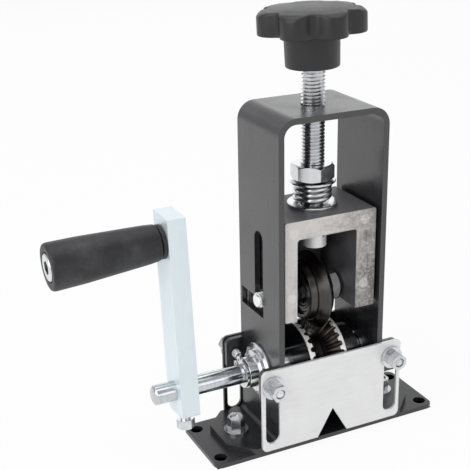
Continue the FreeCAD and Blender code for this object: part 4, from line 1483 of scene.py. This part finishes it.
@dataclass
class Studio:
    """Camera, white surroundings, floor and lights."""

    camera_mm: Triple = (-242.902, -424.425, 292.650)
    azimuth: float = -27.323
    elevation: float = 21.154
    roll: float = -0.406
    lens: float = 79.92
    shift_x: float = -0.0745
    shift_y: float = 0.0085
    ambient: float = 0.36
    front: float = 0.55
    rear: float = 0.66
    daylight: Triple = (0.98, 0.985, 1.0)
    floor_tone: float = 0.86
    floor_glow: float = 0.93
    floor_half: float = 3.0
    floor_drop: float = 0.0002
    base_half: tuple[float, float] = (0.0642, 0.0205)
    lights: tuple[SoftBox, ...] = (
        SoftBox("key_left", (-1.25, -0.45, 0.85), (1.6, 1.5), 15.0),
        SoftBox("top_panel", (0.0, 0.15, 1.5), (1.5, 1.5), 9.0),
        SoftBox("fill_front", (0.5, -1.6, 0.6), (1.2, 0.8), 3.0),
        SoftBox("fill_right", (1.4, -0.3, 0.6), (1.0, 1.0), 1.6),
        SoftBox("back_panel", (0.35, 1.4, 0.5), (1.8, 0.6), 2.5),
    )

    def build(self) -> None:
        """Set up everything that isn't the object."""
        self.camera()
        self.world()
        self.floor()
        for box in self.lights:
            box.build()
        scene = bpy.context.scene
        scene.view_settings.view_transform = "Standard"

    def camera(self) -> None:
        """Camera matched to the photo."""
        a, e, r = (math.radians(v) for v in (self.azimuth, self.elevation, self.roll))
        back = Vector((math.sin(a) * math.cos(e), -math.cos(a) * math.cos(e), math.sin(e)))
        right = Vector((math.cos(a), math.sin(a), 0))
        up = back.cross(right)
        x = right * math.cos(r) + up * math.sin(r)
        y = up * math.cos(r) - right * math.sin(r)
        data = bpy.data.cameras.new("camera")
        data.sensor_width = 36.0
        data.lens = self.lens
        data.shift_x = self.shift_x
        data.shift_y = self.shift_y
        data.clip_start = 0.01
        data.clip_end = 50.0
        holder = added("camera", data)
        turn = Matrix((x, y, back)).transposed().to_4x4()
        holder.matrix_world = Matrix.Translation(Vector(self.camera_mm) * MM) @ turn
        bpy.context.scene.camera = holder

    def world(self) -> None:
        """White to the camera, a brighter rear half to reflections, and soft grey as light."""
        world = bpy.data.worlds.new("surroundings")
        world.use_nodes = True
        wiring = Wiring(world.node_tree)
        rays = wiring.node("ShaderNodeLightPath").outputs
        direction = wiring.node("ShaderNodeTexCoord").outputs["Generated"]
        rearward = wiring.node("ShaderNodeSeparateXYZ", {0: direction}).outputs[1]
        mirrored = wiring.span(rearward, -0.3, 0.55, self.front, self.rear)
        choice = {0: rays["Is Glossy Ray"], 2: self.ambient, 3: mirrored}
        strength = wiring.node("ShaderNodeMix", choice).outputs[0]
        lit = wiring.node("ShaderNodeBackground", {"Color": rgba(self.daylight), "Strength": strength})
        seen = wiring.node("ShaderNodeBackground", {"Color": WHITE, "Strength": 1.0})
        wiring.blend_out(rays["Is Camera Ray"], lit, seen, "ShaderNodeOutputWorld")
        bpy.context.scene.world = world

    def floor(self) -> None:
        """White floor that keeps a soft share of the object's shadow."""
        shape = bmesh.new()
        bmesh.ops.create_grid(shape, x_segments=2, y_segments=2, size=self.floor_half)
        bmesh.ops.translate(shape, vec=(0, 0, -self.floor_drop), verts=shape.verts)
        mesh = meshed(shape, "floor")
        mesh.materials.append(self.floor_finish())
        floor = added("floor", mesh)

    def floor_finish(self) -> bpy.types.Material:
        """White to the camera and to reflections, and black under the base plate as painted shade.

        Returns:
            The material.
        """
        material = bpy.data.materials.new("floor_white")
        material.use_nodes = True
        wiring = Wiring(material.node_tree)
        outside = self.beyond_base(wiring)
        # Painted shade: the floor is black under the base plate.
        matt = wiring.node("ShaderNodeBsdfDiffuse", {"Color": wiring.times(outside, self.floor_tone)})
        glow = wiring.node("ShaderNodeEmission", {"Color": WHITE, "Strength": 1.0})
        rays = wiring.node("ShaderNodeLightPath").outputs
        seen = wiring.math("MAXIMUM", rays["Is Camera Ray"], rays["Is Glossy Ray"])
        share = wiring.times(seen, wiring.times(outside, self.floor_glow))
        wiring.blend_out(share, matt, glow, "ShaderNodeOutputMaterial")
        return material

    def beyond_base(self, wiring: Wiring) -> Socket:
        """One beyond the base plate's outline and zero under it, where the floor is black as painted shade
        so the plate's holes look dark.

        Args:
            wiring: the tree that it is wired into.

        Returns:
            The mask.
        """
        coords = wiring.node("ShaderNodeTexCoord").outputs["Object"]
        places = wiring.node("ShaderNodeSeparateXYZ", {0: coords}).outputs
        past = [
            wiring.math("GREATER_THAN", wiring.unsigned(places[i]), half)
            for i, half in enumerate(self.base_half)
        ]
        return wiring.math("MAXIMUM", *past)


def finishes() -> dict[Slot, bpy.types.Material]:
    """One procedural finish for every material slot of the record.

    Returns:
        The materials by their slot.
    """
    recipes = {
        Slot.BLACK_PAINT: Coating("black_enamel"),
        Slot.BRIGHT_PLATE: Metal(
            "pale_brushed_steel",
            (0.86, 0.86, 0.86),
            roughness=0.45,
            streaks=(60.0, 900.0, 900.0),
            streak_depth=0.08,
            tint=(0.93, 0.93, 0.935),
            relief_mm=0.003,
            diffuse=0.45,
        ),
        Slot.ZINC: Metal("bright_zinc", (0.75, 0.76, 0.77), streak_depth=0.12, tint=(0.74, 0.75, 0.77)),
        Slot.POLISHED: Metal(
            "polished_steel",
            (0.65, 0.675, 0.70),
            roughness=0.17,
            streaks=(1200.0, 90.0, 90.0),
            tint=(0.72, 0.74, 0.76),
        ),
        Slot.SPRING: Metal(
            "spring_steel",
            (0.70, 0.70, 0.71),
            roughness=0.18,
            streaks=(500.0, 500.0, 500.0),
        ),
        Slot.DARK: Metal(
            "dark_tool_steel",
            (0.095, 0.088, 0.083),
            roughness=0.30,
            streaks=(900.0, 120.0, 120.0),
            streak_depth=0.12,
            tint=(0.6, 0.58, 0.56),
        ),
        Slot.PALE_ZINC: Metal(
            "pale_zinc_coat",
            (0.79, 0.875, 0.915),
            roughness=0.38,
            streaks=(120.0, 120.0, 40.0),
            streak_depth=0.08,
            tint=(0.94, 0.95, 0.96),
            relief_mm=0.006,
            diffuse=0.55,
        ),
        Slot.CAST: CastMetal("die_cast", Slider.half_depth),
        Slot.PLASTIC: Moulded("black_plastic", (0.0115, 0.0115, 0.013), roughness=0.42),
        Slot.RUBBER: Moulded(
            "black_grip",
            (0.010, 0.0097, 0.0115),
            roughness=0.50,
            grain_scale=500.0,
            grain_mm=0.06,
            bloom=0.30,
        ),
    }
    return {slot: recipe.material() for slot, recipe in recipes.items()}


def main() -> None:
    """Build the sub-assemblies in order over the loaded frame."""
    logging.basicConfig(level=logging.INFO, format="%(message)s")
    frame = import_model()
    names = {body: name for name, body in frame["bodies"].items()}
    owners = {node: names[piece.parent] for node, piece in frame["nodes"].items()}
    shop = Workshop(frame["nodes"], owners, finishes())
    for part in (Stand, GuidePlates, Slider, BladeWheel, AdjustingScrew, CrankDrive, Handle):
        before = len(shop.built)
        part(shop).build()
        LOG.info("%s done: %d pieces", part.__name__, len(shop.built) - before)
    Studio().build()


if __name__ == "__main__":
    main()
